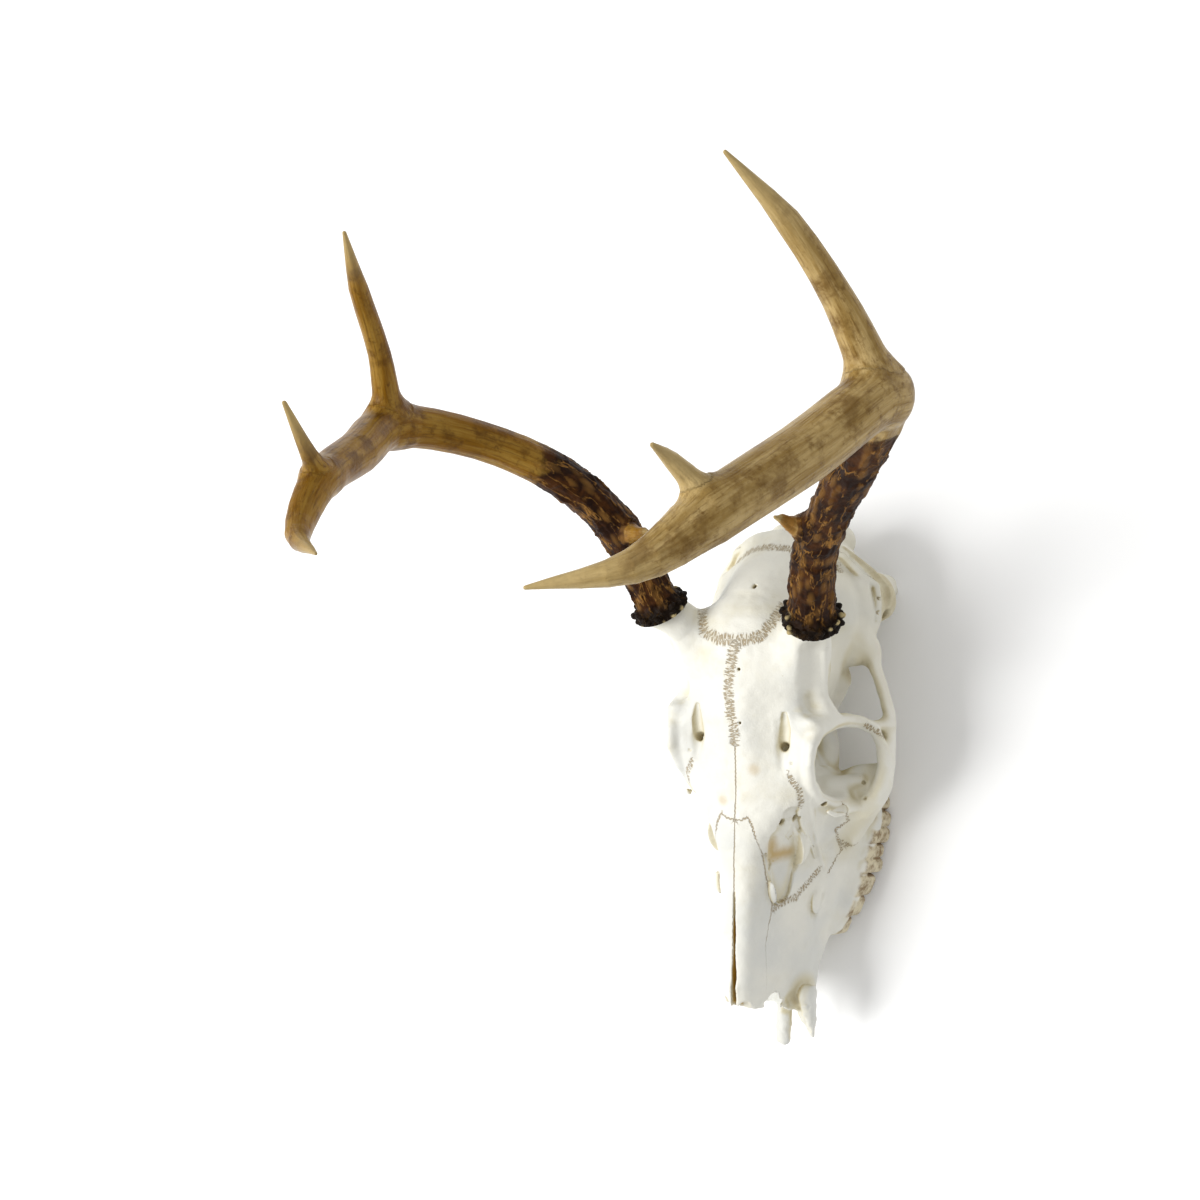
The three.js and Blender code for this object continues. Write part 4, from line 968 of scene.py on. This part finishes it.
def along_branch(points, branch):
    """How far a branch's surface is, and the place on it: across its axis in two ways and along it."""
    curve = np.array(smooth(branch, 4), np.float32)
    best = np.full(len(points), 1e9, np.float32)
    grain = np.zeros((len(points), 3), np.float32)
    side = unit(np.cross(curve[1, :3] - curve[0, :3], [0.3, 1, 0.2]))
    for a, b, heading, size, run, t, away in segments(points, curve):
        side = unit(side - heading * (side @ heading))
        other = np.cross(heading, side)
        far = row_lengths(away) - (a[3] + t * (b[3] - a[3]))
        closer = far < best
        best[closer] = far[closer]
        grain[closer] = np.stack([away @ side, away @ other, run + t * size], 1)[closer]
    return best, grain, run + size


def nearest_branch(points, branches):
    """The place on the nearest branch, and how far it is from that branch's tip."""
    nearest, tip = np.full((2, len(points)), 1e9, np.float32)
    grain = np.zeros((len(points), 3), np.float32)
    for name, start in BRANCH_STARTS.items():
        best, place, whole = along_branch(points, branches[name])
        closer = best < nearest
        nearest[closer] = best[closer]
        tip[closer] = whole - place[closer, 2]
        place[:, 2] += start
        grain[closer] = place[closer]
    return grain, tip


def branch_distances(points, branches):
    return {name: along_branch(points, branch)[0] for name, branch in branches.items()}


def antler_node(points, side, branches):
    """The name of the length of antler at each point."""
    far = branch_distances(points, branches)
    names = np.full(len(points), f"antler_{side}_lower_beam", dtype="<U30")
    beam = np.array(branches["beam"], float)[:, :3]
    # each starts that many mm beyond point i of the beam, and ends within reach of the next point
    for label, i, more, reach in (("upper_beam", 4, 14, 110), ("tip", 6, 12, 70)):
        heading = unit(beam[i + 1] - beam[i])
        beyond = (points - beam[i] - heading * more) @ heading > 0
        near = row_lengths(points - beam[i + 1]) < reach
        names[beyond & near & (points[:, 1] < beam[i, 1] + 30)] = f"antler_{side}_{label}"
    fork = np.array(branches["fork_tine"], float)[:, :3]
    heading = unit(fork[2] - fork[1])
    past_fork = ((points - fork[1]) @ heading > 0) & (far["fork_tine"] < far["beam"])
    names[past_fork] = f"antler_{side}_fork_tine"
    for tine in ("short_tine", "brow_tine"):
        root = np.array(branches[tine][1][:3], float)
        heading = unit(np.array(branches[tine][2][:3], float) - root)
        clear = ((points - root) @ heading > -2) & (far[tine] < far["beam"] - 0.5)
        names[clear] = f"antler_{side}_{tine}"
    return names


def build_antler(side, branches, box, dark_to, pale_from, amber):
    field = antler(branches)
    points, quads = surface(field, *box, ANTLER_CELL)
    points, out = settled(field, points, ANTLER_CELL)
    grain, tip = nearest_branch(points, branches)
    foot, up = antler_foot(branches)
    height = (points - foot) @ up
    burr = ramp(-height, -9.5, -5.5) * (row_lengths(points - foot) < 30)
    rough = 1 - ramp(grain[:, 2], dark_to - 25, dark_to + 15)
    streaks = grain * np.array([1, 1, 0.12], np.float32)
    wander = grain * np.array([1, 1, 0.4], np.float32)
    bead, bead_lot = beads(wander, 3.2, 7)
    knob, knob_lot = beads(points, 3.7, 11)
    furrow = noise(streaks, 2.6, 3) * 0.5 + noise(streaks, 5.5, 4)
    vein = 1 - np.clip(np.abs(noise(wander, 4.4, 8)) / 0.22, 0, 1)
    thin = np.clip(tip / 40, 0.1, 1)
    relief = (bead * 0.45 + vein * 0.75) * rough * (1 - burr) + furrow * 0.36 * thin * (1 - burr)
    relief += burr * (knob * 2.4 - 1.5) + 0.22 * noise(points, 1.6, 5) * rough
    relief = np.where(height < 0.6, 0, relief - 0.35)
    points = (points + out * relief[:, None]).astype(np.float32)
    normals = face_normals(points, quads)
    far = branch_distances(points, branches)
    on_brow = ramp(far["beam"] - far["brow_tine"], 0, 5)
    brow = far["brow_tine"] < np.minimum(np.minimum(far["beam"], far["fork_tine"]), far["short_tine"])
    brow_tip = ramp(-tip, -4, -1)
    values = {
        "grain": grain, "base": rough * (1 - on_brow), "burr": 0.92 * burr,
        "pale": np.where(brow, 0.5 * brow_tip, 0.75 * ramp(-tip, -pale_from, -2)),
        "bead": bead * rough * (1 - burr) * (bead_lot > 0.6), "amber": amber * on_brow * (1 - brow_tip),
        "pearl": burr * ramp(knob, 0.45, 0.8) * (knob_lot > 0.80)}
    nodes = antler_node(points[quads].mean(axis=1), side, branches)
    add_pieces(nodes, "surface", antler_material(side), points, quads, normals, values)


# ---- camera, floor and light
# camera fitted to the photograph, in mm from the nasion
FOCAL_LENGTH, SENSOR_WIDTH = 34.44, 36.0
CAMERA_PLACE = (217.4, 55.4, 493.9)
CAMERA_RIGHT, CAMERA_AHEAD = (0.8524, 0.1022, -0.5128), (-0.5205, 0.0730, -0.8507)
# name, place and size in m, power in W of each area light
LIGHTS = [("key", (-1.2, -0.4, 1.8), 1.1, 46.5), ("fill", (0.9, 0.9, 1.6), 1.6, 5)]
LIGHT_TARGET = (0, 0, 0.1)
WORLD_STRENGTH = 0.585
FLOOR_HALF, FLOOR_COLOUR = 6.0, (0.93, 0.93, 0.925)


def turned(right, up, back, position):
    turn = Matrix(np.stack([right, up, back], 1).tolist()).to_4x4()
    return Matrix.Translation(position) @ turn


def place_camera():
    data = bpy.data.cameras.new("camera")
    data.lens = FOCAL_LENGTH
    data.sensor_width = SENSOR_WIDTH
    camera = add_object("camera", data)
    right, ahead = unit(np.array(CAMERA_RIGHT)), unit(np.array(CAMERA_AHEAD))
    position = (np.array(CAMERA_PLACE) + NASION) * MM
    camera.matrix_world = turned(right, np.cross(right, ahead), -ahead, position.tolist())
    bpy.context.scene.camera = camera


def place_floor():
    mesh = bpy.data.meshes.new("floor")
    corners = [(x * FLOOR_HALF, y * FLOOR_HALF, 0) for x, y in ((-1, -1), (1, -1), (1, 1), (-1, 1))]
    mesh.from_pydata(corners, [], [(0, 1, 2, 3)])
    floor = add_object("floor", mesh)
    material, tree, shader, place = node_material("floor")
    feed(shader["Roughness"], 0.9)
    feed(shader["Base Color"], FLOOR_COLOUR)
    mesh.materials.append(material)


def place_light(name, position, size, power):
    data = bpy.data.lights.new(name, "AREA")
    data.size = size
    data.energy = power
    back = unit(np.array(position) - np.array(LIGHT_TARGET))
    side = unit(np.cross([0.01, 1, 0], back))
    add_object(name, data).matrix_world = turned(side, np.cross(back, side), back, position)


build_skull()
for row in ANTLERS:
    build_antler(*row)
place_camera()
place_floor()
world = bpy.data.worlds.new("studio")
world.use_nodes = True
background = world.node_tree.nodes["Background"].inputs
feed(background["Color"], (1, 1, 1))
feed(background["Strength"], WORLD_STRENGTH)
bpy.context.scene.world = world
for row in LIGHTS:
    place_light(*row)
bpy.context.scene.view_settings.view_transform = "Standard"
